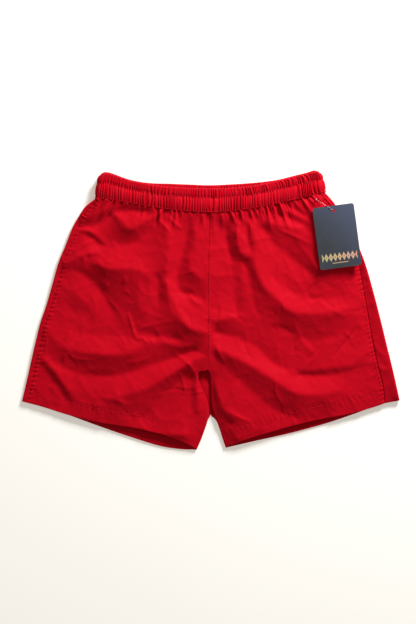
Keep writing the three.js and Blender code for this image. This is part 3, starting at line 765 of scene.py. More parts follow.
# Stretches a taut skin over the fold lines, from a coarse grid to a fine one
def settleCloth(lines):
    wide, tall = relief["right"] - relief["left"], relief["top"] - relief["bottom"]
    skin = np.full((2, 2), relief["restHeight"])
    for coarse in relief["coarseness"]:
        step = relief["step"] * coarse
        columns, rows = int(wide / step) + 1, int(tall / step) + 1
        total, count = np.zeros((rows, columns)), np.zeros((rows, columns))
        for line in lines:
            x, y, z = smoothLine(line, step * 0.4).T
            column, row = (x - relief["left"]) / step, (y - relief["bottom"]) / step
            j, i = np.floor(column).astype(int), np.floor(row).astype(int)
            for dj in (0, 1):
                for di in (0, 1):
                    share = (1 - abs(column - j - dj)) * (1 - abs(row - i - di))
                    cell = (np.clip(i + di, 0, rows - 1), np.clip(j + dj, 0, columns - 1))
                    np.add.at(total, cell, share * z)
                    np.add.at(count, cell, share)
        aim = total / np.maximum(count, 1e-6)
        pull = relief["lineFirmness"] * np.minimum(count, 1.5)
        row = np.linspace(0, skin.shape[0] - 1, rows)[:, None] + np.zeros((1, columns))
        column = np.linspace(0, skin.shape[1] - 1, columns)[None] + np.zeros((rows, 1))
        skin = gridSample(skin, column, row)
        for _ in range(relief["sweeps"]):
            edged = np.pad(skin, 1, mode="edge")
            level = (edged[:-2, 1:-1] + edged[2:, 1:-1] + edged[1:-1, :-2] + edged[1:-1, 2:]) / 4
            skin = (level + pull * aim) / (1 + pull)
    skin = softened(skin, relief["softening"])
    return skin + relief["crispness"] * (skin - softened(skin, relief["crispWidth"]))


# The most visible creases from folding and packing: a path, how high, and how wide its two flanks are
creases = [
    ([(-118, -2), (-114, -16), (-110, -30), (-106, -42)], 1.5, 1.6, 2.4),
    ([(-106, -42), (-97, -39), (-92, -45), (-84, -42), (-80, -52)], 1.0, 1.3, 1.6),
    ([(215, -22), (203, -37), (191, -52), (178, -68)], -1.2, 2.0, 2.2),
    ([(22, -137), (30, -121), (38, -106), (42, -99)], 1.5, 2.0, 3.2),
    ([(26, -143), (36, -150), (48, -156), (62, -161)], 1.1, 2.0, 3.0),
    ([(-30, 22), (-22, 14), (-12, 8)], 1.0, 3.0, 3.0),
    ([(-196, 84), (-183, 95), (-166, 103)], 1.0, 2.4, 3.0),
    ([(-52, -62), (-38, -70), (-25, -84), (-19, -100)], 1.3, 2.4, 3.2),
    ([(-43, -88), (-38, -104), (-36, -122)], 0.9, 2.2, 2.8),
    ([(8, -46), (14, -62), (22, -76)], 1.0, 2.2, 2.8),
    ([(96, 118), (112, 112), (130, 104), (146, 96)], 0.9, 3.2, 3.4),
    ([(44, 130), (40, 118), (38, 104)], 1.1, 2.0, 2.8),
    ([(58, 132), (59, 118), (58, 102)], 1.0, 2.2, 2.4),
    ([(-60, 138), (-52, 128), (-40, 118)], 1.2, 2.2, 3.0),
    ([(-74, 132), (-66, 124), (-56, 112)], 0.9, 2.0, 3.0),
    ([(120, -10), (132, -40), (150, -62)], 0.7, 3.0, 4.0),
    ([(150, 20), (172, 4), (200, -10)], 0.6, 3.0, 5.0),
    ([(-150, 20), (-132, 0), (-120, -24)], 0.7, 3.0, 4.0),
    ([(236, -40), (244, -58), (256, -66)], 1.0, 2.0, 3.0),
    ([(238, -76), (250, -84), (264, -84)], 1.0, 2.0, 3.0),
]

# Small random creases left by packing
crumples = {
    "count": 200,
    "shortest": 10.0,
    "longest": 44.0,
    "lowest": -0.6,
    "highest": 0.75,
    "width": 1.7,
    "from": (-250.0, -165.0),
    "to": (255.0, 120.0),
    "directions": [-0.9, -0.35, 0.5, 1.2],
    "seed": 83,
}

# Gathers that run down out of the waistband seam
gathers = {
    "spacing": 6.0,
    "shortest": 10.0,
    "longest": 46.0,
    "lowest": 1.3,
    "highest": 6.4,
    "width": 2.1,
    "startsAbove": 2.0,
    "risesOver": 9.0,
    "troughShare": 0.28,  # how far the cloth sinks between them, as a share of their height
    "fan": 0.0042,
    "seed": 11,
}

# Small cross ripples and the groove along each kind of sewn line
puckers = {
    "sideDepth": 0.75,
    "sidePitch": 6.5,
    "sideWidth": 6.0,
    "centreDepth": 0.6,
    "centrePitch": 3.8,
    "centreWidth": 5.0,
    "hemDepth": 0.28,
    "hemPitch": 7.5,
    "hemWidth": 7.0,
    "groove": 0.22,
    "grooveWidth": 1.2,
    "hemUp": 18.5,  # from the hem's edge to its stitching
}

# Fine crumpling all over, in layers: the size of a cell, how high its ridges stand, and a seed
crumpling = {
    "layers": [(38, 0.6, 23), (21, 0.3, 31), (11, 0.16, 37)],
    "middle": 0.4,
    "grain": 0.10,
    "grainCell": 7,
    "grainSeed": 29,
}


def packingCreases():
    dice = np.random.default_rng(crumples["seed"])
    left, bottom = crumples["from"]
    right, top = crumples["to"]
    found = []
    for _ in range(crumples["count"]):
        centre = np.array([dice.uniform(left, right), dice.uniform(bottom, top)])
        angle = dice.choice(crumples["directions"]) + dice.normal(0, 0.3)
        length = dice.uniform(crumples["shortest"], crumples["longest"])
        bend = dice.normal(0, 0.12) * length
        along = np.array([math.cos(angle), math.sin(angle)])
        across = np.array([-along[1], along[0]])
        path = [centre - along * length / 2, centre + across * bend, centre + along * length / 2]
        width = crumples["width"] * dice.uniform(0.7, 1.6)
        height = dice.uniform(crumples["lowest"], crumples["highest"])
        found.append((path, height, width, width * dice.uniform(1, 1.8)))
    return found


def gatherRidges():
    dice = np.random.default_rng(gathers["seed"])
    seam = smoothLine(outline["waistSeam"])
    length = lengthsAlong(seam)[-1]
    ridges = []
    place = gathers["spacing"]
    while place < length - gathers["spacing"]:
        x, y = pointsAt(seam, np.array([place / length]))[0]
        reach = gathers["shortest"] + (gathers["longest"] - gathers["shortest"]) * dice.random() ** 1.7
        lean = x * gathers["fan"] + dice.normal(0, 0.14)
        height = dice.uniform(gathers["lowest"], gathers["highest"])
        width = gathers["width"] * dice.uniform(0.7, 1.4)
        ridges.append((x, y + gathers["startsAbove"], lean, reach, height, width))
        place += gathers["spacing"] * dice.uniform(0.6, 1.5)
    return ridges


creaseShare = 1.3  # how strongly all the creases show
allCreases = creases + packingCreases()
allRidges = gatherRidges()


# Which places lie in a line's neighbourhood
def closeTo(line, reach, x, y):
    low, high = line.min(0) - reach, line.max(0) + reach
    return (x > low[0]) & (x < high[0]) & (y > low[1]) & (y < high[1])


def creaseHeight(x, y):
    total = np.zeros(x.shape)
    for path, height, leftWidth, rightWidth in allCreases:
        line = smoothLine(path, 4.0)
        near = closeTo(line, 4.5 * max(leftWidth, rightWidth), x, y)
        if not near.any():
            continue
        along, side = besideLine(line, x[near], y[near])
        length = lengthsAlong(line)[-1]
        ends = np.sin(np.pi * np.clip(along / length, 0, 1)) ** 0.6
        width = np.where(side > 0, leftWidth, rightWidth)
        flank = np.exp(-(np.sqrt(side ** 2 + 0.3) - 0.55) / width)  # sharp, with a slightly rounded crest
        total[near] += creaseShare * height * ends * flank
    return total


def gatherHeight(x, y):
    total = np.zeros(x.shape)
    for startX, startY, lean, reach, height, width in allRidges:
        down = startY - y
        side = x - startX - lean * down
        near = (down > -6) & (down < reach) & (abs(side) < 4 * width)
        fade = np.clip(1 - down[near] / reach, 0, 1) ** 1.3
        fade *= 0.5 + 0.5 * smoothStep(-gathers["startsAbove"], gathers["risesOver"], down[near])
        swell = width * (1 + 0.5 * np.clip(down[near], 0, None) / reach)
        crest = np.exp(-abs(side[near] / swell) ** 1.5)
        total[near] += height * fade * (crest - gathers["troughShare"])
    return total


# A sewn line draws the cloth into a groove with small cross puckers
def seamHeight(x, y, name, kind, seed):
    line, width = sewnLines[name], puckers[kind + "Width"]
    depth, pitch = puckers[kind + "Depth"], puckers[kind + "Pitch"]
    near = closeTo(line, 3 * width, x, y)
    total = np.zeros(x.shape)
    if not near.any():
        return total
    along, side = besideLine(line, x[near], y[near])
    sway = unevenness(along, side * 0.6, pitch * 2.4, seed) * 2.2
    ripple = np.sin(2 * np.pi * along / pitch + sway + 0.25 * side)
    strength = 0.55 + 0.45 * unevenness(along, side * 0, pitch * 5, seed + 1)
    total[near] = depth * strength * ripple * np.exp(-(side / width) ** 2)
    total[near] -= puckers["groove"] * np.exp(-(side / puckers["grooveWidth"]) ** 2)
    return total


sewnLines = {
    "sideRight": smoothLine(outline["seamRight"], 6.0),
    "sideLeft": smoothLine(outline["seamLeft"], 6.0),
    "centre": smoothLine([p for p in outline["frontInnerLeft"] if p[1] > -85], 8.0),
    "hemRight": pulledIn(smoothLine(outline["frontHemRight"], 8.0), puckers["hemUp"], -1),
    "hemLeft": pulledIn(smoothLine(outline["frontHemLeft"], 8.0), puckers["hemUp"], 1),
}

skin = settleCloth([line for group in foldLines.values() for line in group])
print(f"cloth relief settled: {skin.min():.1f} to {skin.max():.1f} mm high")


# Height of the upper cloth over any place, in millimetres
def clothHeight(x, y):
    column, row = (x - relief["left"]) / relief["step"], (y - relief["bottom"]) / relief["step"]
    height = gridSample(skin, column, row)
    height += creaseHeight(x, y) + gatherHeight(x, y)
    for name, kind, seed in (("sideRight", "side", 3), ("sideLeft", "side", 5), ("centre", "centre", 7),
                             ("hemRight", "hem", 13), ("hemLeft", "hem", 17)):
        height += seamHeight(x, y, name, kind, seed)
    for cell, depth, seed in crumpling["layers"]:
        ridge = 1 - abs(unevenness(x + 0.5 * y, y - 0.3 * x, cell, seed))
        height += depth * (ridge ** 3 - crumpling["middle"])
    height += crumpling["grain"] * unevenness(x + 0.4 * y, y, crumpling["grainCell"], crumpling["grainSeed"])
    # The swing tag lies on the cloth, which stays a little lower round it
    tagX, tagY = relief["tagMiddle"]
    nearTag = 1 - smoothStep(relief["tagReach"], relief["tagReach"] + relief["tagFade"],
                             np.hypot(x - tagX, y - tagY))
    return np.minimum(height, relief["ceiling"] - relief["tagRoom"] * nearTag)


panel = {
    "length": 330.0,
    "width": 255.0,
    "spacing": 1.7,
    "backSpacing": 3.0,
    "thickness": 0.35,
    "hemRoll": 0.55,
    "hemTurns": 5,
    "hemInside": (3.0, 8.0, 13.0, 18.0),
    "innerRoll": 3.4,
    "seamRoll": 0.15,
    "seamDive": 0.12,
    "seamTurns": 4,
    "innerTurns": 6,
    "innerDive": 0.52,  # how far the front's open inner edge rolls down, as a share of its height
    "crotchY": -86.0,
    "crotchBlend": 5.0,
    "backSeamRoll": 0.1,
    "backInnerRise": 0.46,
    "backCrotch": (-165.0, -153.0),
    "sideBulge": 2.0,
    "sideTurns": 9,
    "floorGap": 0.45,
    "underWave": 0.5,
    "crotchLift": 2.2,
    "crotchMiddle": (-6.0, -108.0),
    "crotchReach": (9.0, 16.0),
    "waistTuck": 1.6,
    "stripColumns": 10,
}


# Turns the cloth under along its first row, as a hem does, and lays the turned part back inside.
# The inward direction is one vector, or one for each column.
def withHem(points, inward):
    out = unit(points[0, :, :2] - points[2, :, :2])
    roll = panel["hemRoll"]
    rows = []
    for angle in np.linspace(np.pi, 0, panel["hemTurns"], endpoint=False):
        turned = points[0] + inward * roll * (1 - math.cos(angle))
        turned[:, :2] += out * roll * math.sin(angle)
        rows.append(turned)
    run = np.linalg.norm(points[1:, :, :2] - points[:1, :, :2], axis=2).mean(axis=1)
    inside = [points[1 + int(np.argmin(abs(run - far)))] + inward * 2 * roll for far in panel["hemInside"]]
    return np.concatenate([np.array(inside[::-1]), np.array(rows), points])


# Rolls the cloth down past its first or last column: how far out and how far down, once or for each row
def withRolledEdge(points, reach, depth, turns, atEnd):
    if atEnd:
        points = points[:, ::-1]
    out = unit(points[:, 0, :2] - points[:, 2, :2])
    reach = np.broadcast_to(reach, len(points))
    added = []
    for angle in np.linspace(0, np.pi / 2, turns + 1)[1:]:
        rolled = points[:, 0].copy()
        rolled[:, :2] += out * (reach * math.sin(angle))[:, None]
        rolled[:, 2] -= depth * (1 - math.cos(angle))
        added.append(rolled)
    points = np.concatenate([np.stack(added[::-1], axis=1), points], axis=1)
    return points[:, ::-1] if atEnd else points


# Shifts a line smoothly so that it runs between two given ends
def fitted(line, start, end):
    share = np.linspace(0, 1, len(line))[:, None]
    return line + (1 - share) * (start - line[0]) + share * (end - line[-1])


# One half of the waist seam, from the centre out to the side
def halfWaist(sign):
    waist = smoothLine(outline["waistSeam"])
    waist = waist[waist[:, 0] * sign >= 0]
    return waist[np.argsort(abs(waist[:, 0]))]


# 1 along the open inner edge of a leg and 0 above the crotch
def openShare(y):
    return 1 - smoothStep(panel["crotchY"] - panel["crotchBlend"], panel["crotchY"], y)


def frontPanel(side, sign):
    inner = smoothLine(outline["frontInner" + side])
    seam = smoothLine(outline["seam" + side])[::-1]
    hem = smoothLine(outline["frontHem" + side])
    waist = halfWaist(sign)
    waist = waist[abs(waist[:, 0]) <= abs(seam[-1, 0])]
    seamRoll, wider = panel["seamRoll"], panel["innerRoll"] - panel["seamRoll"]
    inner = pulledIn(inner, seamRoll + wider * openShare(inner[:, 1]), -sign)
    seam = pulledIn(seam, seamRoll, sign)
    hem = fitted(hem, inner[0], seam[0])
    waist = fitted(waist, inner[-1], seam[-1])
    rows, columns = int(panel["length"] / panel["spacing"]), int(panel["width"] / panel["spacing"])
    flat = patch(inner, seam, hem, waist, rows, columns)
    points = lifted(flat, clothHeight(flat[..., 0], flat[..., 1]))
    tuck = points[-1:].copy()
    tuck[..., 1] += panel["waistTuck"]
    tuck[..., 2] -= 0.5 * panel["waistTuck"]
    points = withHem(np.concatenate([points, tuck]), np.array([0, 0, -1.0]))
    opened = openShare(points[:, 0, 1])
    dive = panel["seamDive"]
    depth = dive + (panel["innerDive"] * points[:, 0, 2] - dive) * opened
    points = withRolledEdge(points, seamRoll + wider * opened, depth, panel["innerTurns"], atEnd=False)
    return withRolledEdge(points, seamRoll, dive, panel["seamTurns"], atEnd=True)


# The back lies under the front, wraps round the side fold and ends at the side seam on the front
def backPanel(side, sign):
    inner = smoothLine(outline["backInner" + side])
    fold = smoothLine(outline["side" + side])[::-1]
    seam = smoothLine(outline["seam" + side])[::-1]
    hem = smoothLine(outline["hem" + side])
    bulge = panel["sideBulge"]
    turnIn = pulledIn(fold, bulge, sign)
    innerIn = pulledIn(inner, panel["innerRoll"] * (1 - smoothStep(*panel["backCrotch"], inner[:, 1])), -sign)
    hem = fitted(hem, innerIn[0], turnIn[0])
    waist = fitted(halfWaist(sign), innerIn[-1], turnIn[-1])
    rows, columns = int(panel["length"] / panel["backSpacing"]), int(panel["width"] / panel["backSpacing"])
    v = np.linspace(0, 1, rows)
    below = patch(innerIn, turnIn, hem, waist, rows, columns)
    wave = panel["underWave"] * (1 + unevenness(below[..., 0], below[..., 1], 30, 41)) / 2
    under = lifted(below, panel["floorGap"] + wave)
    aside, beyond = (below - np.array(panel["crotchMiddle"])).transpose(2, 0, 1)
    reachX, reachY = panel["crotchReach"]
    under[..., 2] += panel["crotchLift"] * np.exp(-(aside / reachX) ** 2 - (beyond / reachY) ** 2)

    seamEdge = pointsAt(pulledIn(seam, panel["seamRoll"], -sign), v)
    foldEdge = pointsAt(turnIn, v)
    share = np.linspace(0, 1, panel["stripColumns"])[None, :, None]
    strip = seamEdge[:, None] * (1 - share) + foldEdge[:, None] * share
    top = lifted(strip, clothHeight(strip[..., 0], strip[..., 1]))

    out = unit(pointsAt(fold, v) - foldEdge)
    high, low = top[:, -1, 2], under[:, -1, 2]
    turns = []
    for angle in np.linspace(0, np.pi, panel["sideTurns"] + 2)[1:-1]:
        turned = top[:, -1].copy()
        turned[:, :2] += out * bulge * math.sin(angle)
        turned[:, 2] = (high + low) / 2 + (high - low) / 2 * math.cos(angle)
        turns.append(turned)
    points = np.concatenate([top, np.stack(turns, axis=1), under[:, ::-1]], axis=1)

    tuck = points[-1:].copy()
    tuck[..., 1] += panel["waistTuck"]
    points = np.concatenate([points, tuck])
    # Its hem turns to the inside all the way round: down on the strip, up on the underside
    outwards = lifted(unit(points[2, :, :2] - points[0, :, :2]), np.zeros(points.shape[1]))
    hemmed = withHem(points, sign * unit(np.cross(outwards, np.gradient(points[0], axis=0))))
    opened = 1 - smoothStep(*panel["backCrotch"], hemmed[:, -1, 1])
    reach = panel["backSeamRoll"] + (panel["innerRoll"] - panel["backSeamRoll"]) * opened
    frontEdge = clothHeight(hemmed[:, -1, 0], hemmed[:, -1, 1])
    rise = (panel["backInnerRise"] * frontEdge - panel["floorGap"]) * opened
    return withRolledEdge(hemmed, reach, -rise, panel["innerTurns"], atEnd=True)


for side, sign in sides:
    name = side.lower()
    front = clothPiece(f"frontPanel{side}", frontPanel(side, sign), "shell", f"front_panel_{name}",
                       panel["thickness"], flip=sign < 0)
    back = clothPiece(f"backPanel{side}", backPanel(side, sign), "shell", f"back_panel_{name}",
                      panel["thickness"], flip=sign < 0)
print("leg panels made")


band = {
    "halfLength": 152.0,  # straight run of the front, centre to where it turns round the side
    "frontLevel": 12.4,
    "backLevel": 3.1,
    "restsAt": 0.3,
    "halfDepth": 1.5,
    "topFront": [(-156, 196), (-150, 197), (-140, 195.5), (-120, 188.5), (-100, 184), (-80, 180.5),
                 (-60, 178), (-30, 176), (0, 175.5), (30, 176), (60, 179), (80, 182.5), (100, 187),
                 (120, 192), (140, 197), (150, 199.5), (158, 199.5)],
    "topBack": [(-156, 199), (-150, 199.8), (-140, 197.5), (-120, 190), (-100, 185.5), (-80, 183.5),
                (-60, 183), (-30, 181.8), (0, 180.8), (30, 182), (60, 184), (80, 186), (100, 189),
                (120, 194), (140, 199), (150, 202), (158, 201)],
    "rightTaper": [(0, 164.5), (0.15, 163), (0.5, 162.2), (0.8, 160.5), (0.93, 158.5), (1, 155.5)],
    "leftTaper": [(0, 166.5), (0.15, 164.5), (0.5, 163.5), (0.8, 161.5), (0.93, 159.5), (1, 156.5)],
    "ribPitch": 3.9,
    "ribDepth": 3.0,
    "ribNarrowing": 0.62,
    "ribMiddle": 0.6,
    "ribDrift": 6.5,
    "ribWobble": 1.5,
    "middleStitch": 0.64,
    "lowerStitch": 0.045,
    "lowerTunnelFrom": 0.03,
    "lowerSwell": 1.2,
    "upperTunnelTo": 1.05,
    "upperSwell": 0.5,
    "fullFrom": 0.22,
    "stitchDip": 0.4,
    "stitchDipWidth": 0.08,
    "thinnest": 0.95,
    "alongHalf": 160.0,  # millimetres along the loop for one share of its half width
    "crownRise": 0.035,
    "crownScale": 40.0,
    "frontColumns": 760,
    "backColumns": 620,
    "sideColumns": 26,
    "clothThickness": 0.3,
    "elasticFrom": 0.1,
    "elasticTo": 0.86,
    "elasticThickness": 0.6,
    "elasticRibShare": 0.08,
    "seed": 19,
}


# One loop round the waist: for each column its side-to-side share, its level and its outward direction
def bandLoop():
    half = band["halfLength"]
    radius = (band["frontLevel"] - band["backLevel"]) / 2
    middle = (band["frontLevel"] + band["backLevel"]) / 2
    back = np.linspace(0, half, band["backColumns"] // 2, endpoint=False)
    turn = np.linspace(0, np.pi, band["sideColumns"], endpoint=False)
    front = np.linspace(half, -half, band["frontColumns"], endpoint=False)
    x = np.concatenate([back, half + radius * np.sin(turn), front, -half - radius * np.sin(turn),
                        np.append(-back[::-1], 0)])
    facing = np.concatenate([np.full(len(back), -np.pi / 2), turn - np.pi / 2, np.full(len(front), np.pi / 2),
                             np.pi / 2 + turn, np.full(len(back) + 1, 1.5 * np.pi)])
    level = middle + radius * np.sin(facing)
    return x / (half + radius), level, facing


loopShare, loopLevel, loopFacing = bandLoop()
loopOut = np.stack([np.cos(loopFacing), 0 * loopFacing, np.sin(loopFacing)], axis=1)
loopAlong = lengthsAlong(np.stack([loopShare * band["alongHalf"], loopLevel], axis=1))
waistLine = smoothLine(outline["waistSeam"])
topFrontLine = smoothLine(band["topFront"])
topBackLine = smoothLine(band["topBack"])


# Side-to-side and waistwards place of the band's middle surface, at a share of its height
def bandPlace(height):
    reach = np.where(loopShare < 0, eased(band["rightTaper"], height), eased(band["leftTaper"], height))
    x = loopShare * reach
    frontness = (1 + np.sin(loopFacing)) / 2
    bottom, topFront, topBack = [np.interp(x, line[:, 0], line[:, 1])
                                 for line in (waistLine, topFrontLine, topBackLine)]
    top = topBack + (topFront - topBack) * frontness
    return x, bottom + height * (top - bottom)


# Height of the gathered ribs along the loop; each tunnel has its own slightly different ribs
def ribHeight(height):
    along, split, seed = loopAlong, band["middleStitch"], band["seed"]
    upper = smoothStep(split - 0.03, split + 0.03, height)
    total = 0
    for tunnel, share in ((0, 1 - upper), (1, upper)):
        drift = band["ribDrift"] * unevenness(along, along * 0 + 40 * tunnel, 16, seed)
        wobble = band["ribWobble"] * unevenness(along, height * 7 + 9 * tunnel, 4.5, seed + 1)
        phase = np.pi * (along + drift + wobble + 2.0 * tunnel) / band["ribPitch"]
        ridge = abs(np.sin(phase)) ** band["ribNarrowing"]
        strength = 0.55 + 0.55 * unevenness(along, height * 3 + 25 * tunnel, 9, seed + 2)
        total = total + share * strength * (ridge - band["ribMiddle"])
    ends = smoothStep(0, 0.06, height) * (1 - smoothStep(0.97, 1.0, height))
    return band["ribDepth"] * total * (0.35 + 0.65 * ends)


# How far the band's faces stand from its middle: rounded at the bottom, with a swell in each tunnel
def bandFace(height):
    split, lowest, highest = band["middleStitch"], band["lowerTunnelFrom"], band["upperTunnelTo"]
    rise = np.clip(height / band["fullFrom"], 0, 1)
    full = 0.55 + 0.45 * np.sqrt(1 - (1 - rise) ** 2)
    lowerTunnel = np.sin(np.pi * np.clip((height - lowest) / (split - lowest), 0, 1)) ** 1.2
    upperTunnel = np.sin(np.pi * np.clip((height - split) / (highest - split), 0, 1)) ** 1.1
    middle = np.exp(-((height - split) / band["stitchDipWidth"]) ** 2)
    swell = band["lowerSwell"] * lowerTunnel + band["upperSwell"] * upperTunnel
    return band["halfDepth"] * full + swell - band["stitchDip"] * middle


# One ring round the loop at a share of the band's height, so far away from its middle surface
def ringAt(height, away):
    x, y = bandPlace(height)
    z = np.maximum(loopLevel + away * loopOut[:, 2], band["restsAt"])
    return np.stack([x + away * loopOut[:, 0], y, z], axis=1)


# A ring on the casing: outwards is 1 on its outer face and -1 on its inner one
def casingRing(height, outwards, ribShare=1.0):
    thick = np.maximum(bandFace(height) + ribHeight(height) * ribShare, band["thinnest"])
    return ringAt(height, outwards * thick)


def waistband():
    outer = [(h, 1, 1.0) for h in np.concatenate([[0, 0.012], np.linspace(0.035, 0.985, 32)])]
    crown = [(1 + band["crownRise"] * math.sin(turn), math.cos(turn), 0.9)
             for turn in np.linspace(0.25, np.pi - 0.25, 6)]
    inner = [(h, -1, 1.0) for h in np.linspace(0.985, 0.0, 17)]
    rings = []
    for height, outwards, ribShare in outer + crown + inner:
        capped = min(height, 1.0)
        ring = casingRing(capped, outwards, ribShare * abs(outwards))
        ring[:, 1] += (height - capped) * band["crownScale"]
        rings.append(ring)
    piece = clothPiece("waistband", np.stack(rings, axis=1), "band", "waistband_casing",
                       band["clothThickness"], ringed=True)


# The elastic lies on the band's middle surface and shares a little of its ribs
def waistElastic():
    heights = np.linspace(band["elasticFrom"], band["elasticTo"], 14)
    rings = [ringAt(height, ribHeight(height) * band["elasticRibShare"])[::3] for height in heights]
    clothPiece("waistElastic", np.stack(rings, axis=1), "elastic", "waist_elastic",
               band["elasticThickness"], offset=0)


waistband()
waistElastic()
print("waistband made")


stitch = {
    "pitch": 3.1,
    "length": 2.5,
    "radius": 0.27,
    "endRadius": 0.17,
    "arch": 0.22,
    "sides": 6,
    "stations": 5,
    "wander": 0.12,
    "bandPitch": 3.4,
    "tackLength": 1.7,
    "tackRadius": 0.24,
    "tackPitch": 0.42,
    "tackRun": 6.6,
    "tackInside": 0.62,  # the share of a bar-tack that lies on the front, inside the seam
    "tackLean": 0.16,
    "tackAbove": 0.25,
    "above": 0.12,
    "endDip": 0.12,
    "bandAbove": 0.1,
}


# Many stitches as one mesh: each a short arched length of thread between two needle holes
def stitchMesh(name, centres, directions, ups, length, radius):
    stations = np.linspace(-1, 1, stitch["stations"])
    around = np.linspace(0, 2 * np.pi, stitch["sides"], endpoint=False)
    sideways = unit(np.cross(ups, directions))
    ups = unit(np.cross(directions, sideways))
    thick = radius + (stitch["endRadius"] / stitch["radius"] - 1) * radius * stations ** 4
    arch = stitch["arch"] * (1 - stations ** 2) - stitch["endDip"] * stations ** 4
    spine = centres[:, None] + directions[:, None] * (stations * length / 2)[None, :, None]
    spine = spine + ups[:, None] * arch[None, :, None]
    ring = sideways[:, None, None] * np.cos(around)[None, None, :, None]
    ring = ring + ups[:, None, None] * np.sin(around)[None, None, :, None]
    points = spine[:, :, None] + ring * thick[None, :, None, None]
    count, m, n = points.shape[:3]
    number = np.arange(count * m * n).reshape(count, m, n)
    ahead = np.roll(number, -1, axis=2)
    walls = np.stack([number[:, :-1], ahead[:, :-1], ahead[:, 1:], number[:, 1:]], axis=-1).reshape(-1, 4)
    caps = np.concatenate([number[:, 0, ::-1], number[:, -1]])
    mesh = bpy.data.meshes.new(name)
    mesh.from_pydata((points.reshape(-1, 3) * mm).tolist(), [], walls.tolist() + caps.tolist())
    mesh.shade_smooth()
    return mesh


def stitchPiece(name, node, centres, directions, ups, length=stitch["length"], radius=stitch["radius"]):
    mesh = stitchMesh(name, centres, directions, ups, length, radius)
    addPiece(name, mesh, "thread", node)


# Stitches along a line that already lies on the surface
def stitchLine(name, node, line, pitch, seed, ups=None):
    run = lengthsAlong(line)
    count = int(run[-1] / pitch)
    shares = (np.arange(count) + 0.5) / count
    centres = pointsAt(line, shares)
    directions = unit(pointsAt(line, shares + 0.3 / run[-1]) - pointsAt(line, shares - 0.3 / run[-1]))
    dice = np.random.default_rng(seed)
    centres[:, :2] += dice.normal(0, stitch["wander"], (count, 2))
    facing = np.tile([0.0, 0.0, 1.0], (count, 1)) if ups is None else pointsAt(ups, shares)
    stitchPiece(name, node, centres, directions, facing)


# A flat line raised onto the upper cloth
def onCloth(line, above=stitch["above"]):
    return lifted(line, clothHeight(line[:, 0], line[:, 1]) + above)


def finely(line, spacing=0.7):
    return pointsAt(line, np.linspace(0, 1, int(lengthsAlong(line)[-1] / spacing)))


seamLines = {
    "topstitchFromSeam": 3.0,
    "topstitchSpan": slice(6, -3),  # the seam's points without those at the waist and the hem
    "centreFromSeam": 2.0,
    "centreAbove": -58.0,
    "hemFromSeam": 9.0,
    "hemFromInner": 13.0,
    "innerSlant": 0.1,  # the inner edges lean apart towards the hems
    "pocketMouth": {"upper": 137.0, "lower": 28.0},
}


# A bar-tack: close zigzag stitches across the side seam at one end of a pocket's mouth
def barTack(level, side, sign, seam):
    nearest = int(np.argmin(abs(seam[:, 1] - seamLines["pocketMouth"][level])))
    spot = seam[nearest]
    alongSeam = unit(seam[nearest + 3] - spot)
    across = np.array([alongSeam[1], -alongSeam[0]]) * sign * -1
    count = int(stitch["tackRun"] / stitch["tackPitch"])
    steps = np.linspace(-stitch["tackInside"], 1 - stitch["tackInside"], count) * stitch["tackRun"]
    centres = onCloth(spot + steps[:, None] * across, stitch["tackAbove"])
    lean = np.where(np.arange(count) % 2, stitch["tackLean"], -stitch["tackLean"])[:, None]
    directions = unit(np.concatenate([alongSeam + lean * across, np.zeros((count, 1))], axis=1))
    ups = np.tile([0.0, 0.0, 1.0], (count, 1))
    stitchPiece(f"pocketTack{level.title()}{side}", f"pocket_bartack_{level}_{side.lower()}", centres,
                directions, ups, stitch["tackLength"], stitch["tackRadius"])


for (side, sign), seed in zip(sides, (51, 53)):
    name = side.lower()
    seam = smoothLine(outline["seam" + side])
    inside = pulledIn(seam, seamLines["topstitchFromSeam"], -sign)[seamLines["topstitchSpan"]]
    stitchLine(f"sideTopstitch{side}", f"side_topstitch_{name}", onCloth(finely(inside)),
               stitch["pitch"], seed)
    hem = sewnLines["hem" + side]
    fromCentre = abs(hem[:, 0])
    sewn = fromCentre > seamLines["hemFromInner"] + seamLines["innerSlant"] * abs(hem[:, 1])
    sewn = sewn & (fromCentre < abs(seam[-1, 0]) - seamLines["hemFromSeam"])
    stitchLine(f"hemStitch{side}", f"hem_stitch_{name}", onCloth(finely(smoothLine(hem[sewn], 2.0))),
               stitch["pitch"], seed + 1)
    for level in seamLines["pocketMouth"]:
        barTack(level, side, sign, seam)

centreLine = np.array([p for p in sewnLines["centre"] if p[1] > seamLines["centreAbove"]])
centreLine = centreLine + [seamLines["centreFromSeam"], 0]
stitchLine("centreFrontTopstitch", "centre_front_topstitch", onCloth(finely(centreLine)), stitch["pitch"], 57)
for level in ("middle", "lower"):
    onBand = casingRing(band[level + "Stitch"], 1) + stitch["bandAbove"] * loopOut
    stitchLine(f"bandStitch{level.title()}", f"waistband_stitch_{level}", onBand, stitch["bandPitch"], 59,
               loopOut)
print("sewing made")


pocket = {
    "top": 134.0,
    "bottom": 2.0,
    "fromSeam": 2.5,
    "depth": 100.0,
    "narrowest": 0.35,
    "underCloth": 1.8,
    "slant": -0.12,
    "thickness": 0.8,
    "rows": 56,
    "columns": 44,
}


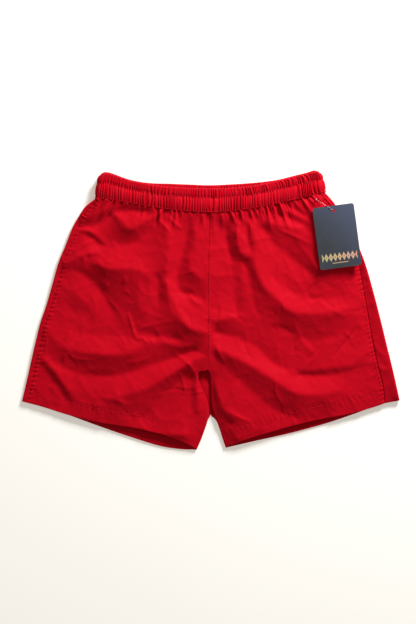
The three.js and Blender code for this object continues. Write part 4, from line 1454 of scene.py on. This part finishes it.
# A flat bag hanging from the side seam, pressed against the inside of the front
def pocketBag(side, sign):
    seam = smoothLine(outline["seam" + side])[::-1]
    seam = seam[(seam[:, 1] > pocket["bottom"]) & (seam[:, 1] < pocket["top"])]
    mouth = pulledIn(seam, pocket["fromSeam"], sign)
    v, s = np.linspace(0, 1, pocket["rows"]), np.linspace(0, 1, pocket["columns"])
    full = np.sqrt(np.clip(1 - (2 * v - 1) ** 2, 0, 1)) ** 0.7
    depth = pocket["depth"] * (pocket["narrowest"] + (1 - pocket["narrowest"]) * full)
    inwards = np.array([-sign, pocket["slant"]])
    flat = pointsAt(mouth, v)[:, None] + s[None, :, None] * depth[:, None, None] * inwards
    height = clothHeight(flat[..., 0], flat[..., 1]) - pocket["underCloth"] - panel["thickness"]
    piece = clothPiece(f"pocketBag{side}", lifted(flat, height), "lining", f"pocket_bag_{side.lower()}",
                       pocket["thickness"], flip=sign > 0)


for side, sign in sides:
    pocketBag(side, sign)

label = {
    "rows": 30,
    "columns": 22,
    "curl": 1.1,
    "wave": 0.25,
    "thickness": 0.25,
}


def careLabel():
    low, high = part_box("care_label")
    low, high = np.array(low) / mm, np.array(high) / mm
    v, s = np.meshgrid(np.linspace(0, 1, label["rows"]), np.linspace(0, 1, label["columns"]), indexing="ij")
    x, y = low[0] + s * (high[0] - low[0]), low[1] + v * (high[1] - low[1])
    z = low[2] + label["curl"] * (1 - v) ** 2 + label["wave"] * np.sin(s * 5) * (1 - v)
    piece = clothPiece("careLabel", np.stack([x, y, z], axis=2), "label", "care_label",
                       label["thickness"])


careLabel()

loop = {
    "wire": 0.26,
    "bend": 1.05,
    "turnPoints": 13,
}


# The nylon loop that runs from the fastener's eye through the hole of the tag
def nylonLoop():
    anchors = {j["name"]: Vector(j["pos_m"]) for j in frame["joints"]}
    start, end = anchors["fastener_turn"], anchors["tag_swing"]
    towards = (end - start).normalized()
    bend = loop["bend"] * mm
    points = []
    for base, first in ((start, 0.5), (end - towards * bend, -0.5)):
        for angle in np.linspace(first * np.pi, (first + 1) * np.pi, loop["turnPoints"]):
            lift = Vector((0, 0, math.sin(angle) * bend))
            points.append(base + towards * math.cos(angle) * bend + lift)
    curve = bpy.data.curves.new("nylonLoop", "CURVE")
    curve.dimensions = "3D"
    curve.bevel_depth = loop["wire"] * mm
    curve.bevel_resolution = 4
    spline = curve.splines.new("POLY")
    spline.points.add(len(points) - 1)
    for made, point in zip(spline.points, points):
        made.co = (*point, 1)
    spline.use_cyclic_u = True
    addPiece("nylonLoop", curve, "nylon", "tag_fastener_loop", body="loop")


nylonLoop()


# A CAD part keeps its shape and gets a better finish
def refinish(node, finish):
    shape = frame["nodes"][node].data
    shape.materials.clear()
    shape.materials.append(finishes[finish])


refinish("swing_tag", "card")
refinish("tag_fastener_anchor", "nylon")
print("trims made")


# Metres, watts and degrees, but millimetres for the sensor
studio = {
    "floorSize": 40.0,
    "floorColour": (0.83, 0.825, 0.81, 1),
    "floorShadeColour": (0.80, 0.795, 0.78, 1),
    "glowColour": (0.80, 0.76, 0.67, 1),
    "floorGlow": 0.44,
    "keyDistance": 2.0,
    "keyTowards": 30.0,
    "keyElevation": 23.0,
    "keySize": 0.5,
    "keyPower": 76.0,
    "fillTowards": (-0.3, -0.4, 1),
    "fillDistance": 2.0,
    "fillSize": 2.0,
    "fillPower": 3.0,
    "worldColour": (1, 0.94, 0.86, 1),
    "worldStrength": 0.23,
    "cameraHeight": 2.3,
    "viewHeight": 0.905,
    "sensorWidth": 36.0,
    "aim": (-0.0025, -0.0015),
}


def floor():
    half = studio["floorSize"] / 2
    mesh = bpy.data.meshes.new("floor")
    corners = [(-half, -half, 0), (half, -half, 0), (half, half, 0), (-half, half, 0)]
    mesh.from_pydata(corners, [], [(0, 1, 2, 3)])
    piece = addObject("floor", mesh)
    finish = Finish("paleTable", {
        "Specular IOR Level": 0.2,
        "Emission Color": studio["glowColour"],
        "Emission Strength": studio["floorGlow"],
    })
    tone = finish.noise(finish.objectPlace(), 2.0, 2.0)
    finish.feed("Base Color", finish.mixColours(tone, studio["floorShadeColour"], studio["floorColour"]))
    finish.feed("Roughness", 0.7 + tone * 0.1)
    mesh.materials.append(finish.material)


def lamp(name, place, size, power):
    light = bpy.data.lights.new(name, "AREA")
    light.size = size
    light.energy = power
    piece = addObject(name, light)
    piece.location = place
    piece.rotation_euler = (-Vector(place)).to_track_quat("-Z", "Y").to_euler()


def camera():
    lens = bpy.data.cameras.new("camera")
    lens.sensor_width = studio["sensorWidth"]
    lens.lens = studio["sensorWidth"] * studio["cameraHeight"] / studio["viewHeight"]
    piece = addObject("camera", lens)
    piece.location = (*studio["aim"], studio["cameraHeight"])
    bpy.context.scene.camera = piece


floor()
around, up = math.radians(studio["keyTowards"]), math.radians(studio["keyElevation"])
towards = Vector((math.sin(around) * math.cos(up), math.cos(around) * math.cos(up), math.sin(up)))
lamp("windowLight", towards * studio["keyDistance"], studio["keySize"], studio["keyPower"])
fill = Vector(studio["fillTowards"]).normalized()
lamp("fillLight", fill * studio["fillDistance"], studio["fillSize"], studio["fillPower"])
world = bpy.data.worlds.new("softRoom")
world.use_nodes = True
background = world.node_tree.nodes["Background"]
background.inputs[0].default_value = studio["worldColour"]
background.inputs[1].default_value = studio["worldStrength"]
bpy.context.scene.world = world
bpy.context.scene.view_settings.view_transform = "Standard"
camera()
print("floor, light and camera made")
